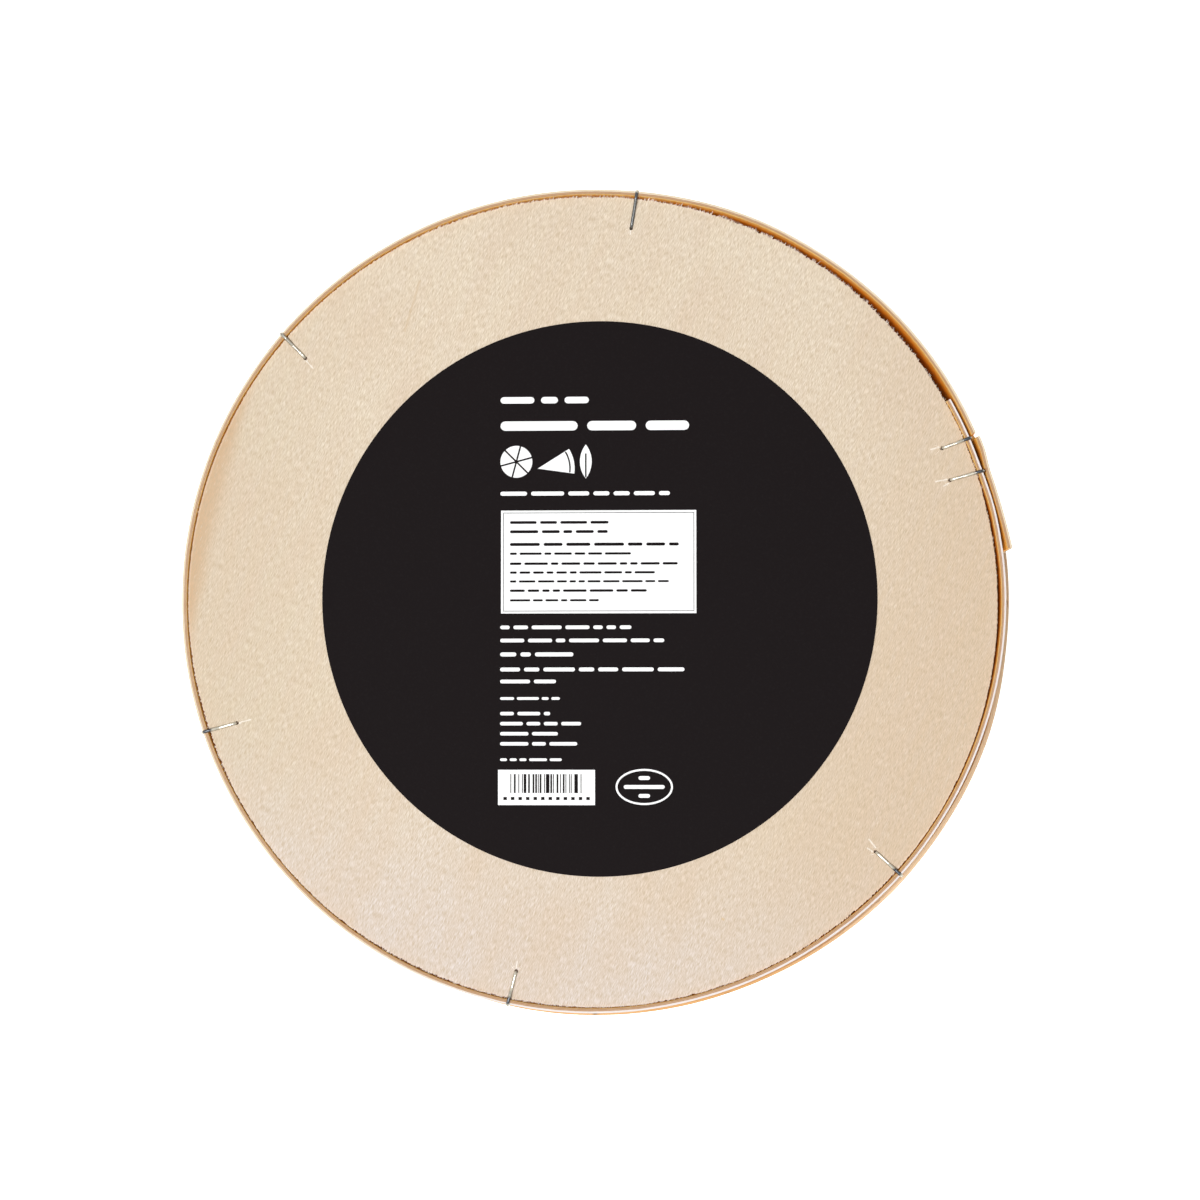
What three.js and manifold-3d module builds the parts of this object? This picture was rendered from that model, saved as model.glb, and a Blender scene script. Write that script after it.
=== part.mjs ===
// A shut round box of bent poplar veneer with a soft cheese inside, lying label side up.
// Units are millimetres. The origin is on the box's axis at its bottom, +Z is up through the label,
// and +Y is the top of the label's layout.

import * as THREE from 'three';
import * as BufferGeometryUtils from 'three/addons/utils/BufferGeometryUtils.js';
import Module from 'manifold-3d';

const wasm = await Module();
wasm.setup();

// Driving dimensions of the box
const BOX_HEIGHT = 40;
const BOARD_RADIUS = 105;
const BOARD_THICKNESS = 3;
const BOARD_RECESS = 1;
const VENEER = 1.25;
const CLEARANCE = 0.3;
const LID_HEIGHT = 15;

// The filled inside, a little narrower than the board that closes it
const CORE_SETBACK = 1.2;

// The round paper label
const LABEL_RADIUS = 71.9;
const LABEL_THICKNESS = 0.25;
const LABEL_CENTRE = new THREE.Vector2(2.0, 0.4);
const PASTE_GAP = 0.05;

// The staple wire
const WIRE_RADIUS = 0.425;
const WIRE_SIDES = 6;
const WIRE_STEPS = 26;
const WIRE_BEND = 1.1;
const WIRE_SEAT = 0.1;
const STAPLE_DROP = 8;
const LEG_IN_BOARD = 1.6;
const LEG_IN_VENEER = 0.7;
const HOLE_RADIUS = WIRE_RADIUS + CLEARANCE;
const HOLE_SIDES = 8;
const OVERRUN = 1;

// Fineness of the round pieces, with angles in degrees
const FULL_TURN = 360;
const BOARD_SEGMENTS = 120;
const LABEL_SEGMENTS = 60;
const HOOP_STEP = 3;
const TRAY_LEVELS = 3;
const LID_LEVELS = 1;

// Heights that follow from the above
const TOP_FACE = BOX_HEIGHT - BOARD_RECESS;
const LID_BOARD_TOP = BOARD_RECESS + BOARD_THICKNESS;
const TRAY_BOTTOM = LID_BOARD_TOP + CLEARANCE;
const HOOP_RADIUS = BOARD_RADIUS + CLEARANCE;
const TRAY_OUTSIDE = HOOP_RADIUS + VENEER;
const LID_HOOP_RADIUS = TRAY_OUTSIDE + CLEARANCE;
const LAP_STEP = VENEER + CLEARANCE;
const LEG_BOTTOM = BOX_HEIGHT - STAPLE_DROP - HOLE_RADIUS;

// Each hoop is one strip wound a little over one turn. Its course gives the inner face's distance
// from the axis at some angles, in degrees counter-clockwise from +X, running on below zero.
const TRAY_COURSE = [
  { angle: 29, radius: HOOP_RADIUS },
  { angle: 15, radius: HOOP_RADIUS },
  { angle: 0, radius: HOOP_RADIUS + 0.3 },
  { angle: -55, radius: HOOP_RADIUS + 0.3 },
  { angle: -95, radius: HOOP_RADIUS },
  { angle: -271, radius: HOOP_RADIUS },
  { angle: -297, radius: HOOP_RADIUS + 1.0 },
  { angle: -328, radius: HOOP_RADIUS + LAP_STEP },
  { angle: -353.2, radius: HOOP_RADIUS + LAP_STEP },
];

const LID_COURSE = [
  { angle: 150, radius: LID_HOOP_RADIUS },
  { angle: 88, radius: LID_HOOP_RADIUS },
  { angle: 63, radius: LID_HOOP_RADIUS + 1.0 },
  { angle: 32, radius: LID_HOOP_RADIUS + LAP_STEP },
  { angle: 8, radius: LID_HOOP_RADIUS + LAP_STEP },
  { angle: -6, radius: LID_HOOP_RADIUS + 1.3 },
  { angle: -36, radius: LID_HOOP_RADIUS + 1.9 },
  { angle: -69, radius: LID_HOOP_RADIUS + 1.5 },
  { angle: -100, radius: LID_HOOP_RADIUS + 1.2 },
  { angle: -135, radius: LID_HOOP_RADIUS },
  { angle: -165, radius: LID_HOOP_RADIUS },
  { angle: -208, radius: LID_HOOP_RADIUS + LAP_STEP },
  { angle: -231, radius: LID_HOOP_RADIUS + LAP_STEP + 0.1 },
];

// The free end of the tray hoop springs outwards above the lid
const FLARE = { from: 20, to: 6.8, reach: 1.3 };

// Staples: the angle where each one crosses the rim, how far it leans from the radius, in degrees,
// and how far in from the hoop's outer face its inner leg stands. A lapped one is under the outer turn.
const TRAY_STAPLES = [
  { angle: 83.5, lean: -2.9, reach: 9.4 },
  { angle: 139.3, lean: -4.8, reach: 8.7 },
  { angle: 198.8, lean: -3.1, reach: 8.8 },
  { angle: 258.4, lean: -2.6, reach: 8.6 },
  { angle: 318.3, lean: -1.1, reach: 8.6 },
  { angle: 22.9, lean: -3.2, reach: 7.8, lapped: true },
  { angle: 18, lean: -2.8, reach: 8.8, lapped: true },
];

const LID_STAPLES = [
  { angle: 146, lean: 3.0, reach: 11.0 },
  { angle: 139, lean: 2.4, reach: 10.6 },
  { angle: 88, lean: 2.8, reach: 9.5 },
  { angle: 34, lean: 3.6, reach: 9.9 },
  { angle: 332, lean: 2.6, reach: 9.2 },
  { angle: 272, lean: 3.1, reach: 9.6 },
  { angle: 209, lean: 2.2, reach: 9.3 },
];

// The slit in the outer turn where the first lapped staple passes
const SLIT = { staple: 5, innerWidth: 3.0, outerWidth: 1.5 };

const POPLAR = { color: 0xe5d3bb, roughness: 0.75, metalness: 0 };
const VENEER_WOOD = { color: 0xe2bf94, roughness: 0.7, metalness: 0 };
const BLACK_PAPER = { color: 0x231f20, roughness: 0.55, metalness: 0 };
const ZINC_WIRE = { color: 0xb9b9b4, roughness: 0.35, metalness: 0.9 };

const box = new THREE.Group();

function addPiece(name, geometry, finish) {
  const mesh = new THREE.Mesh(geometry, new THREE.MeshStandardMaterial(finish));
  mesh.name = name;
  box.add(mesh);
  return mesh;
}

// A solid for cutting, from a closed geometry
function toSolid(geometry) {
  const bare = geometry.clone();
  bare.deleteAttribute('normal');
  bare.deleteAttribute('uv');
  const merged = BufferGeometryUtils.mergeVertices(bare);
  const corners = merged.index.array;
  const triangles = [];
  for (let i = 0; i < corners.length; i += 3) {
    const [a, b, c] = corners.slice(i, i + 3);
    if (a !== b && b !== c && c !== a) {
      triangles.push(a, b, c);
    }
  }
  return new wasm.Manifold(new wasm.Mesh({
    numProp: 3,
    vertProperties: merged.attributes.position.array,
    triVerts: new Uint32Array(triangles),
  }));
}

function toGeometry(solid) {
  const mesh = solid.getMesh();
  const geometry = new THREE.BufferGeometry();
  geometry.setAttribute('position', new THREE.BufferAttribute(mesh.vertProperties, 3));
  geometry.setIndex(new THREE.BufferAttribute(mesh.triVerts, 1));
  geometry.computeVertexNormals();
  return geometry;
}

function cut(geometry, cutters) {
  let solid = toSolid(geometry);
  for (const cutter of cutters) {
    solid = solid.subtract(toSolid(cutter));
  }
  return toGeometry(solid);
}

function polar(angle, radius) {
  const turn = THREE.MathUtils.degToRad(angle);
  return new THREE.Vector2(radius * Math.cos(turn), radius * Math.sin(turn));
}

// The inner face's distance from the axis, eased between the two stations around an angle
function radiusAt(course, angle) {
  const next = Math.max(1, course.findIndex((station) => station.angle <= angle));
  const before = course[next - 1];
  const after = course[next];
  const share = (before.angle - angle) / (before.angle - after.angle);
  const eased = THREE.MathUtils.smoothstep(share, 0, 1);
  return THREE.MathUtils.lerp(before.radius, after.radius, eased);
}

function anglesAlong(course) {
  const start = course[0].angle;
  const sweep = start - course[course.length - 1].angle;
  const steps = Math.ceil(sweep / HOOP_STEP);
  return Array.from({ length: steps + 1 }, (_, i) => start - (sweep * i) / steps);
}

// One bent strip, standing on its edge
function hoopStrip(course, bottom, top, levels) {
  const angles = anglesAlong(course);
  const inner = angles.map((angle) => polar(angle, radiusAt(course, angle)));
  const outer = angles.map((angle) => polar(angle, radiusAt(course, angle) + VENEER));
  const outline = new THREE.Shape([...outer.reverse(), ...inner]);
  const strip = new THREE.ExtrudeGeometry(outline, {
    depth: top - bottom,
    steps: levels,
    bevelEnabled: false,
  });
  return strip.translate(0, 0, bottom);
}

// Leans the free end of the outer turn away from the box, above the lid only
function flareEnd(strip) {
  const points = strip.attributes.position;
  const underTurn = radiusAt(TRAY_COURSE, FLARE.to) + VENEER;
  const coverTurn = HOOP_RADIUS + LAP_STEP;
  const betweenTurns = (underTurn + coverTurn) / 2;
  for (let i = 0; i < points.count; i += 1) {
    const radius = Math.hypot(points.getX(i), points.getY(i));
    const angle = THREE.MathUtils.radToDeg(Math.atan2(points.getY(i), points.getX(i)));
    const along = THREE.MathUtils.smoothstep(FLARE.from - angle, 0, FLARE.from - FLARE.to);
    const up = THREE.MathUtils.clamp((points.getZ(i) - LID_HEIGHT) / (BOX_HEIGHT - LID_HEIGHT), 0, 1);
    if (angle < FLARE.from && angle > FLARE.to - HOOP_STEP / 2 && radius > betweenTurns) {
      const grown = (radius + FLARE.reach * along * up) / radius;
      points.setXY(i, points.getX(i) * grown, points.getY(i) * grown);
    }
  }
  return strip;
}

// The outer face's distance from the axis where a staple bends over it
function faceUnder(course, staple) {
  const lastTurn = course[course.length - 1].angle;
  const turns = [staple.angle - FULL_TURN, staple.angle];
  const onStrip = turns.filter((angle) => angle <= course[0].angle && angle >= lastTurn);
  const wanted = staple.lapped ? onStrip[onStrip.length - 1] : onStrip[0];
  return radiusAt(course, wanted) + VENEER;
}

// A staple's own frame: x outwards from the hoop's face along the wire, z the box's own
function stapleFrame(course, staple) {
  const foot = polar(staple.angle, faceUnder(course, staple));
  const turn = THREE.MathUtils.degToRad(staple.angle + staple.lean);
  return new THREE.Matrix4().makeRotationZ(turn).setPosition(foot.x, foot.y, 0);
}

// Straight runs joined by round bends
function bentWire(corners) {
  const path = new THREE.CurvePath();
  let from = corners[0];
  for (let i = 1; i < corners.length - 1; i += 1) {
    const back = corners[i - 1].clone().sub(corners[i]).setLength(WIRE_BEND).add(corners[i]);
    const ahead = corners[i + 1].clone().sub(corners[i]).setLength(WIRE_BEND).add(corners[i]);
    path.add(new THREE.LineCurve3(from, back));
    path.add(new THREE.QuadraticBezierCurve3(back, corners[i], ahead));
    from = ahead;
  }
  path.add(new THREE.LineCurve3(from, corners[corners.length - 1]));
  return path;
}

function wireAlong(path) {
  const section = new THREE.Shape();
  const corners = Array.from({ length: WIRE_SIDES }, (_, i) => (
    polar((FULL_TURN * i) / WIRE_SIDES, WIRE_RADIUS)
  ));
  section.setFromPoints(corners);
  return new THREE.ExtrudeGeometry(section, { extrudePath: path, steps: WIRE_STEPS, bevelEnabled: false });
}

// On the label side the wire lies on the board and climbs over the rim
function trayWire(staple) {
  const seat = staple.lapped ? WIRE_SEAT / 2 : WIRE_SEAT;
  const onBoard = TOP_FACE + WIRE_RADIUS + seat;
  const onRim = BOX_HEIGHT + WIRE_RADIUS + seat;
  const outside = WIRE_RADIUS + seat;
  return bentWire([
    new THREE.Vector3(-staple.reach, 0, TOP_FACE - LEG_IN_BOARD),
    new THREE.Vector3(-staple.reach, 0, onBoard),
    new THREE.Vector3(-staple.reach / 2, 0, onBoard),
    new THREE.Vector3(-1.5 * VENEER, 0, onRim),
    new THREE.Vector3(outside, 0, onRim),
    new THREE.Vector3(outside, 0, BOX_HEIGHT - STAPLE_DROP),
    new THREE.Vector3(-LEG_IN_VENEER, 0, BOX_HEIGHT - STAPLE_DROP),
  ]);
}

// On the underside the wire stays above the floor, in a notch of the rim
function lidWire(staple) {
  const level = WIRE_RADIUS + WIRE_SEAT / 2;
  const outside = WIRE_RADIUS + WIRE_SEAT;
  return bentWire([
    new THREE.Vector3(-staple.reach, 0, BOARD_RECESS + LEG_IN_BOARD),
    new THREE.Vector3(-staple.reach, 0, level),
    new THREE.Vector3(outside, 0, level),
    new THREE.Vector3(outside, 0, STAPLE_DROP),
    new THREE.Vector3(-LEG_IN_VENEER, 0, STAPLE_DROP),
  ]);
}

// An upright hole for a staple's inner leg, in the staple's own frame
function boardHole(staple, low, high) {
  const hole = new THREE.CylinderGeometry(HOLE_RADIUS, HOLE_RADIUS, high - low, HOLE_SIDES);
  return hole.rotateX(Math.PI / 2).translate(-staple.reach, 0, (low + high) / 2);
}

// A level hole through one turn of veneer for its outer leg
function veneerHole(height) {
  const hole = new THREE.CylinderGeometry(HOLE_RADIUS, HOLE_RADIUS, VENEER + CLEARANCE, HOLE_SIDES);
  return hole.rotateZ(Math.PI / 2).translate(-VENEER / 2, 0, height);
}

// Room for the wire on the inside of the turn that covers it
function coverGroove() {
  const depth = 2 * WIRE_RADIUS + CLEARANCE;
  const height = BOX_HEIGHT - LEG_BOTTOM + OVERRUN;
  const groove = new THREE.BoxGeometry(depth, 2 * HOLE_RADIUS, height);
  return groove.translate(depth / 2 + WIRE_SEAT / 2, 0, LEG_BOTTOM + height / 2);
}

// A slit right through the covering turn, wider on the inside
function coverSlit() {
  const outer = new THREE.Vector2(LAP_STEP + CLEARANCE, SLIT.outerWidth / 2);
  const inner = new THREE.Vector2(WIRE_SEAT, SLIT.innerWidth / 2);
  const outline = new THREE.Shape([
    new THREE.Vector2(inner.x, -inner.y),
    new THREE.Vector2(outer.x, -outer.y),
    new THREE.Vector2(outer.x, outer.y),
    new THREE.Vector2(inner.x, inner.y),
  ]);
  const depth = BOX_HEIGHT - LEG_BOTTOM + OVERRUN;
  return new THREE.ExtrudeGeometry(outline, { depth, bevelEnabled: false }).translate(0, 0, LEG_BOTTOM);
}

// A notch in the lid's lower edge that takes the wire
function rimNotch() {
  const length = VENEER + LAP_STEP + 2 * OVERRUN;
  const height = 2 * WIRE_RADIUS + CLEARANCE + WIRE_SEAT + OVERRUN;
  const notch = new THREE.BoxGeometry(length, 2 * HOLE_RADIUS, height);
  return notch.translate(OVERRUN - length / 2, 0, height / 2 - OVERRUN);
}

function disc(radius, low, high, segments) {
  const profile = [
    new THREE.Vector2(0, low),
    new THREE.Vector2(radius, low),
    new THREE.Vector2(radius, high),
    new THREE.Vector2(0, high),
  ];
  return new THREE.LatheGeometry(profile, segments).rotateX(Math.PI / 2);
}

// The board under the label, with the filled inside of the box below it
function trayBoard() {
  const core = BOARD_RADIUS - CORE_SETBACK;
  const underside = TOP_FACE - BOARD_THICKNESS;
  const profile = [
    new THREE.Vector2(0, TRAY_BOTTOM),
    new THREE.Vector2(core, TRAY_BOTTOM),
    new THREE.Vector2(core, underside),
    new THREE.Vector2(BOARD_RADIUS, underside),
    new THREE.Vector2(BOARD_RADIUS, TOP_FACE),
    new THREE.Vector2(0, TOP_FACE),
  ];
  const whole = new THREE.LatheGeometry(profile, BOARD_SEGMENTS).rotateX(Math.PI / 2);
  const low = TOP_FACE - LEG_IN_BOARD - CLEARANCE;
  const holes = TRAY_STAPLES.map((staple) => (
    boardHole(staple, low, TOP_FACE + OVERRUN).applyMatrix4(stapleFrame(TRAY_COURSE, staple))
  ));
  return cut(whole, holes);
}

function lidBoard() {
  const whole = disc(LID_HOOP_RADIUS - CLEARANCE, BOARD_RECESS, LID_BOARD_TOP, BOARD_SEGMENTS);
  const high = BOARD_RECESS + LEG_IN_BOARD + CLEARANCE;
  const holes = LID_STAPLES.map((staple) => (
    boardHole(staple, 0, high).applyMatrix4(stapleFrame(LID_COURSE, staple))
  ));
  return cut(whole, holes);
}

function trayHoop() {
  const strip = flareEnd(hoopStrip(TRAY_COURSE, TRAY_BOTTOM, BOX_HEIGHT, TRAY_LEVELS));
  const cutters = [];
  TRAY_STAPLES.forEach((staple, i) => {
    const frame = stapleFrame(TRAY_COURSE, staple);
    cutters.push(veneerHole(BOX_HEIGHT - STAPLE_DROP).applyMatrix4(frame));
    if (staple.lapped) {
      const room = i === SLIT.staple ? coverSlit() : coverGroove();
      cutters.push(room.applyMatrix4(frame));
    }
  });
  return cut(strip, cutters);
}

function lidHoop() {
  const strip = hoopStrip(LID_COURSE, 0, LID_HEIGHT, LID_LEVELS);
  const cutters = [];
  for (const staple of LID_STAPLES) {
    const frame = stapleFrame(LID_COURSE, staple);
    cutters.push(veneerHole(STAPLE_DROP).applyMatrix4(frame));
    cutters.push(rimNotch().applyMatrix4(frame));
  }
  return cut(strip, cutters);
}

function label() {
  const outline = new THREE.Shape().absarc(LABEL_CENTRE.x, LABEL_CENTRE.y, LABEL_RADIUS, 0, 2 * Math.PI);
  const sheet = new THREE.ExtrudeGeometry(outline, {
    depth: LABEL_THICKNESS,
    curveSegments: LABEL_SEGMENTS,
    bevelEnabled: false,
  });
  return sheet.translate(0, 0, TOP_FACE + PASTE_GAP);
}

function addStaples(prefix, course, staples, wirePath) {
  staples.forEach((staple, i) => {
    const wire = addPiece(`${prefix}_staple_${i + 1}`, wireAlong(wirePath(staple)), ZINC_WIRE);
    const foot = polar(staple.angle, faceUnder(course, staple));
    wire.position.set(foot.x, foot.y, 0);
    wire.rotation.z = THREE.MathUtils.degToRad(staple.angle + staple.lean);
  });
}

addPiece('tray_board', trayBoard(), POPLAR);
addPiece('tray_hoop', trayHoop(), VENEER_WOOD);
addPiece('lid_board', lidBoard(), POPLAR);
addPiece('lid_hoop', lidHoop(), VENEER_WOOD);
addPiece('label', label(), BLACK_PAPER);
addStaples('tray', TRAY_COURSE, TRAY_STAPLES, trayWire);
addStaples('lid', LID_COURSE, LID_STAPLES, lidWire);

export default box;
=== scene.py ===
# A shut round box of bent poplar veneer with a soft cheese inside, dressed around its fixed frame.
# Lengths are metres and angles are degrees, counter-clockwise from +X, unless a line says otherwise.

import math
import random
from collections import namedtuple

import bmesh
import bpy
from mathutils import Matrix, Vector, geometry, noise


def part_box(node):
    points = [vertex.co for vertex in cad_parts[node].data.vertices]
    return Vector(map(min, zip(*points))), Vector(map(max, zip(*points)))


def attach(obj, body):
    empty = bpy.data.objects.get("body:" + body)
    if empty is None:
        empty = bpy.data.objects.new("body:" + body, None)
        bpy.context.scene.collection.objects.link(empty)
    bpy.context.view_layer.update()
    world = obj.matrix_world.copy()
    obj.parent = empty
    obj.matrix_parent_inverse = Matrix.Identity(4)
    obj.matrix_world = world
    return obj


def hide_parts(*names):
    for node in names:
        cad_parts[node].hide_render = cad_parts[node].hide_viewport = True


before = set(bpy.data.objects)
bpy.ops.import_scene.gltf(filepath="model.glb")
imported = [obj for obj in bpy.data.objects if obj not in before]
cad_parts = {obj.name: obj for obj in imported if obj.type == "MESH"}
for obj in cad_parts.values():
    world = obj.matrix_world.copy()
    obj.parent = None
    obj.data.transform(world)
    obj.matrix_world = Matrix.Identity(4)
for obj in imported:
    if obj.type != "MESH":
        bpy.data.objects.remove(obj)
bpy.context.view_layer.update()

bl_info = {
    "name": "Cheese Box",
    "version": (1, 0, 0),
    "blender": (4, 5, 0),
    "location": "3D View > Sidebar > Cheese Box",
    "description": "Dresses a round veneer box with its boards, hoops, staples, fibres and label",
    "category": "Object",
}

MM = 0.001
FULL_TURN = 360
BODY = "root"
STAPLE_COUNT = 7

# Sizes that the frame gives
TOP_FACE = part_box("tray_board")[1].z
BOARD_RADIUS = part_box("tray_board")[1].x
TRAY_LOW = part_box("tray_hoop")[0].z
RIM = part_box("tray_hoop")[1].z
UNDER_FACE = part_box("lid_board")[0].z
UNDER_BOARD_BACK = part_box("lid_board")[1].z
UNDER_BOARD_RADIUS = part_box("lid_board")[1].x
LID_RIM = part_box("lid_hoop")[1].z
LABEL_LOW, LABEL_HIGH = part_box("label")
LABEL_CENTRE = (LABEL_LOW + LABEL_HIGH) / 2
LABEL_RADIUS = (LABEL_HIGH.x - LABEL_LOW.x) / 2

# The two strips: each course gives the inner face's distance from the axis at some angles
VENEER = 1.25 * MM
CLEARANCE = 0.3 * MM
HOOP_RADIUS = BOARD_RADIUS + CLEARANCE
LID_HOOP_RADIUS = HOOP_RADIUS + VENEER + CLEARANCE
LAP_STEP = VENEER + CLEARANCE
COURSE_STEP = 0.75

Station = namedtuple("Station", "angle radius")

TRAY_COURSE = [
    Station(29, HOOP_RADIUS - 0.4 * MM),
    Station(20, HOOP_RADIUS - 0.4 * MM),
    Station(11, HOOP_RADIUS + 0.15 * MM),
    Station(0, HOOP_RADIUS + 0.3 * MM),
    Station(-20, HOOP_RADIUS + 0.08 * MM),
    Station(-40, HOOP_RADIUS + 0.08 * MM),
    Station(-60, HOOP_RADIUS - 0.1 * MM),
    Station(-95, HOOP_RADIUS - 0.08 * MM),
    Station(-120, HOOP_RADIUS),
    Station(-165, HOOP_RADIUS),
    Station(-200, HOOP_RADIUS + 0.1 * MM),
    Station(-271, HOOP_RADIUS + 0.1 * MM),
    Station(-297, HOOP_RADIUS + 1.0 * MM),
    Station(-328, HOOP_RADIUS + LAP_STEP),
    Station(-353.2, HOOP_RADIUS + LAP_STEP),
]

LID_COURSE = [
    Station(150, LID_HOOP_RADIUS),
    Station(88, LID_HOOP_RADIUS),
    Station(63, LID_HOOP_RADIUS + 1.0 * MM),
    Station(32, LID_HOOP_RADIUS + LAP_STEP),
    Station(8, LID_HOOP_RADIUS + LAP_STEP),
    Station(-6, LID_HOOP_RADIUS + 1.35 * MM),
    Station(-20, LID_HOOP_RADIUS + 1.75 * MM),
    Station(-40, LID_HOOP_RADIUS + 1.45 * MM),
    Station(-69, LID_HOOP_RADIUS + 1.0 * MM),
    Station(-100, LID_HOOP_RADIUS + 1.2 * MM),
    Station(-135, LID_HOOP_RADIUS),
    Station(-165, LID_HOOP_RADIUS),
    Station(-208, LID_HOOP_RADIUS + LAP_STEP),
    Station(-231, LID_HOOP_RADIUS + LAP_STEP + 0.1 * MM),
]

# The free end of the tray's strip springs outwards above the lid, over this many degrees of its end
SPRING_SWEEP = 13.2

# Staples: where each crosses the rim, its lean from the radius in degrees, and the distance from the
# strip's outer face to its inner leg. A lapped one bends over the inner turn where the two ends overlap.
Staple = namedtuple("Staple", "angle lean reach lapped")

TRAY_STAPLES = [
    Staple(83.5, -2.9, 9.4 * MM, False),
    Staple(139.3, -4.8, 8.7 * MM, False),
    Staple(198.8, -3.1, 8.8 * MM, False),
    Staple(258.4, -2.6, 8.6 * MM, False),
    Staple(318.3, -1.1, 8.6 * MM, False),
    Staple(22.9, -3.2, 7.4 * MM, True),
    Staple(18, -2.8, 8.5 * MM, True),
]

LID_STAPLES = [
    Staple(146, 3.0, 11.0 * MM, False),
    Staple(139, 2.4, 10.6 * MM, False),
    Staple(88, 2.8, 9.5 * MM, False),
    Staple(34, 3.6, 9.9 * MM, False),
    Staple(332, 2.6, 9.2 * MM, False),
    Staple(272, 3.1, 9.6 * MM, False),
    Staple(209, 2.2, 9.3 * MM, False),
]

STAPLE_DROP = 8 * MM
LEG_IN_BOARD = 1.6 * MM
LEG_IN_VENEER = 0.7 * MM


def shade(red, green, blue):
    """Display values from 0 to 255 as the linear colour that a shader takes"""
    def linear(value):
        part = value / 255
        return part / 12.92 if part <= 0.04045 else ((part + 0.055) / 1.055) ** 2.4
    return (linear(red), linear(green), linear(blue), 1)


def length(name, description, millimetres):
    return bpy.props.FloatProperty(
        name=name, description=description, default=millimetres * MM, unit="LENGTH", precision=5)


def angle(name, description, degrees):
    return bpy.props.FloatProperty(
        name=name, description=description, default=math.radians(degrees), unit="ROTATION", subtype="ANGLE")


def number(name, description, default):
    return bpy.props.FloatProperty(name=name, description=description, default=default)


def tint(name, description, red, green, blue):
    return bpy.props.FloatVectorProperty(
        name=name, description=description, default=shade(red, green, blue), size=4, min=0, max=1,
        subtype="COLOR")


class CHEESEBOX_PG_sizes(bpy.types.PropertyGroup):
    """Sizes of the box's stock"""
    board_thickness: length("Board thickness", "Thickness of the board under the label", 3)
    core_setback: length("Core setback", "How far the filled inside stays behind the board's rim", 0.6)
    rim_swell: length("Rim swell", "How far the board's rim grew towards the strip", 0.18)
    rim_ragged: length("Ragged depth", "How deep the saw tore the board where it crosses the grain", 0.75)
    rim_chamfer: length("Board edge", "Width of the worn edge round a board's face", 0.12)
    rim_press: length("Rim press", "How far the board's rim is pressed in beside the lap", 0.5)
    edge_round: length("Strip edge", "Radius of a strip's worn edges", 0.16)
    rim_wear: length("Rim wear", "How uneven a strip's cut edge is", 0.14)
    waviness: length("Waviness", "How far a strip strays from its course", 0.09)
    spring: length("Spring", "How far the free end of the tray's strip leans out", 1.15)
    bulge: length("Bulge", "How far the flap beside the slit bends out", 0.6)
    wire_radius: length("Wire radius", "Radius of the staple wire", 0.425)
    wire_seat: length("Wire seat", "From a strip's outer face to the middle of the wire", 0.15)
    wire_bend: length("Wire bend", "Radius of the bends of a staple", 0.9)
    hole_width: length("Hole width", "Width of the hole that a staple's leg tore", 0.95)
    hole_length: length("Hole length", "Length of the hole that a staple's leg tore", 1.25)
    hole_depth: length("Hole depth", "Depth of the hole that a staple's leg tore", 1.5)


class CHEESEBOX_PG_wood(bpy.types.PropertyGroup):
    """Colours of the poplar"""
    lean: angle("Grain lean", "Turn of the board's grain from +Y, counter-clockwise", -22)
    cream: tint("Cream wood", "Main tone of the board", 227, 214, 194)
    dull: tint("Dull wood", "Duller tone towards the board's left", 214, 200, 177)
    warm: tint("Warm wood", "Warmer tone towards the board's right", 212, 189, 163)
    cool: tint("Cool wood", "Cooler tone towards the board's bottom", 219, 209, 204)
    pink: tint("Pink wood", "Rosy tone between the fibres", 216, 194, 172)
    hair: tint("Hairs", "Short darker hairs of the grain", 184, 164, 136)
    shine: tint("Pale hairs", "Lifted and torn hairs", 242, 236, 226)
    # Partly painted shade: the board's cut rim is tinted a dark purple brown for the shade of the gap
    # beside the strip
    sawn_and_gap_shade: tint("Sawn rim", "Sawn rim of a board, darkened with painted shade of the gap", 156, 92, 104)
    core: tint("Core", "Side of the filled inside, under the board", 244, 196, 128)
    # Painted light and shade: the inner face is amber for the light bounced in the gap beside the board,
    # and deeper down the gap for its shade; the amber streaks follow the grain
    inside: tint("Inner face", "Inner face of a strip near its edge", 248, 200, 108)
    deep: tint("Deep inner face", "Inner face of a strip in the gap beside the board", 250, 174, 36)
    amber: tint("Amber streaks", "Darker streaks of a strip's inner face", 222, 132, 20)
    bright_ply: tint("Bright ply", "Cut edge of a strip right beside its inner face", 226, 184, 102)
    inner_ply: tint("Inner ply", "Cut edge of a strip on its inner side", 184, 151, 117)
    middle_ply: tint("Middle ply", "Cut edge of a strip at its middle", 202, 173, 138)
    glue_line: tint("Glue line", "Thin darker line in the cut edge", 158, 108, 72)
    outer_ply: tint("Outer ply", "Cut edge of a strip on its outer side", 220, 205, 178)
    # Painted highlight: this whitish tone stands for light caught on the outer side of a strip's cut edge
    highlit: tint("Highlit ply", "Cut edge of a strip where its outer side is bleached", 224, 216, 214)
    # Painted light: the lower strip's cut edge is made lighter at the right to make up for the shade of the
    # taller strip beside it; towards the bottom it turns tan
    lightened_low_ply: tint("Low ply", "Cut edge of the lower strip at the right", 252, 220, 184)
    low_tan: tint("Low tan ply", "Cut edge of the lower strip at the bottom", 212, 156, 90)
    stain: tint("Stain", "Resin stain along the left rim", 200, 166, 130)
    outside: tint("Outer face", "Outer face of a strip", 212, 192, 162)


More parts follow.
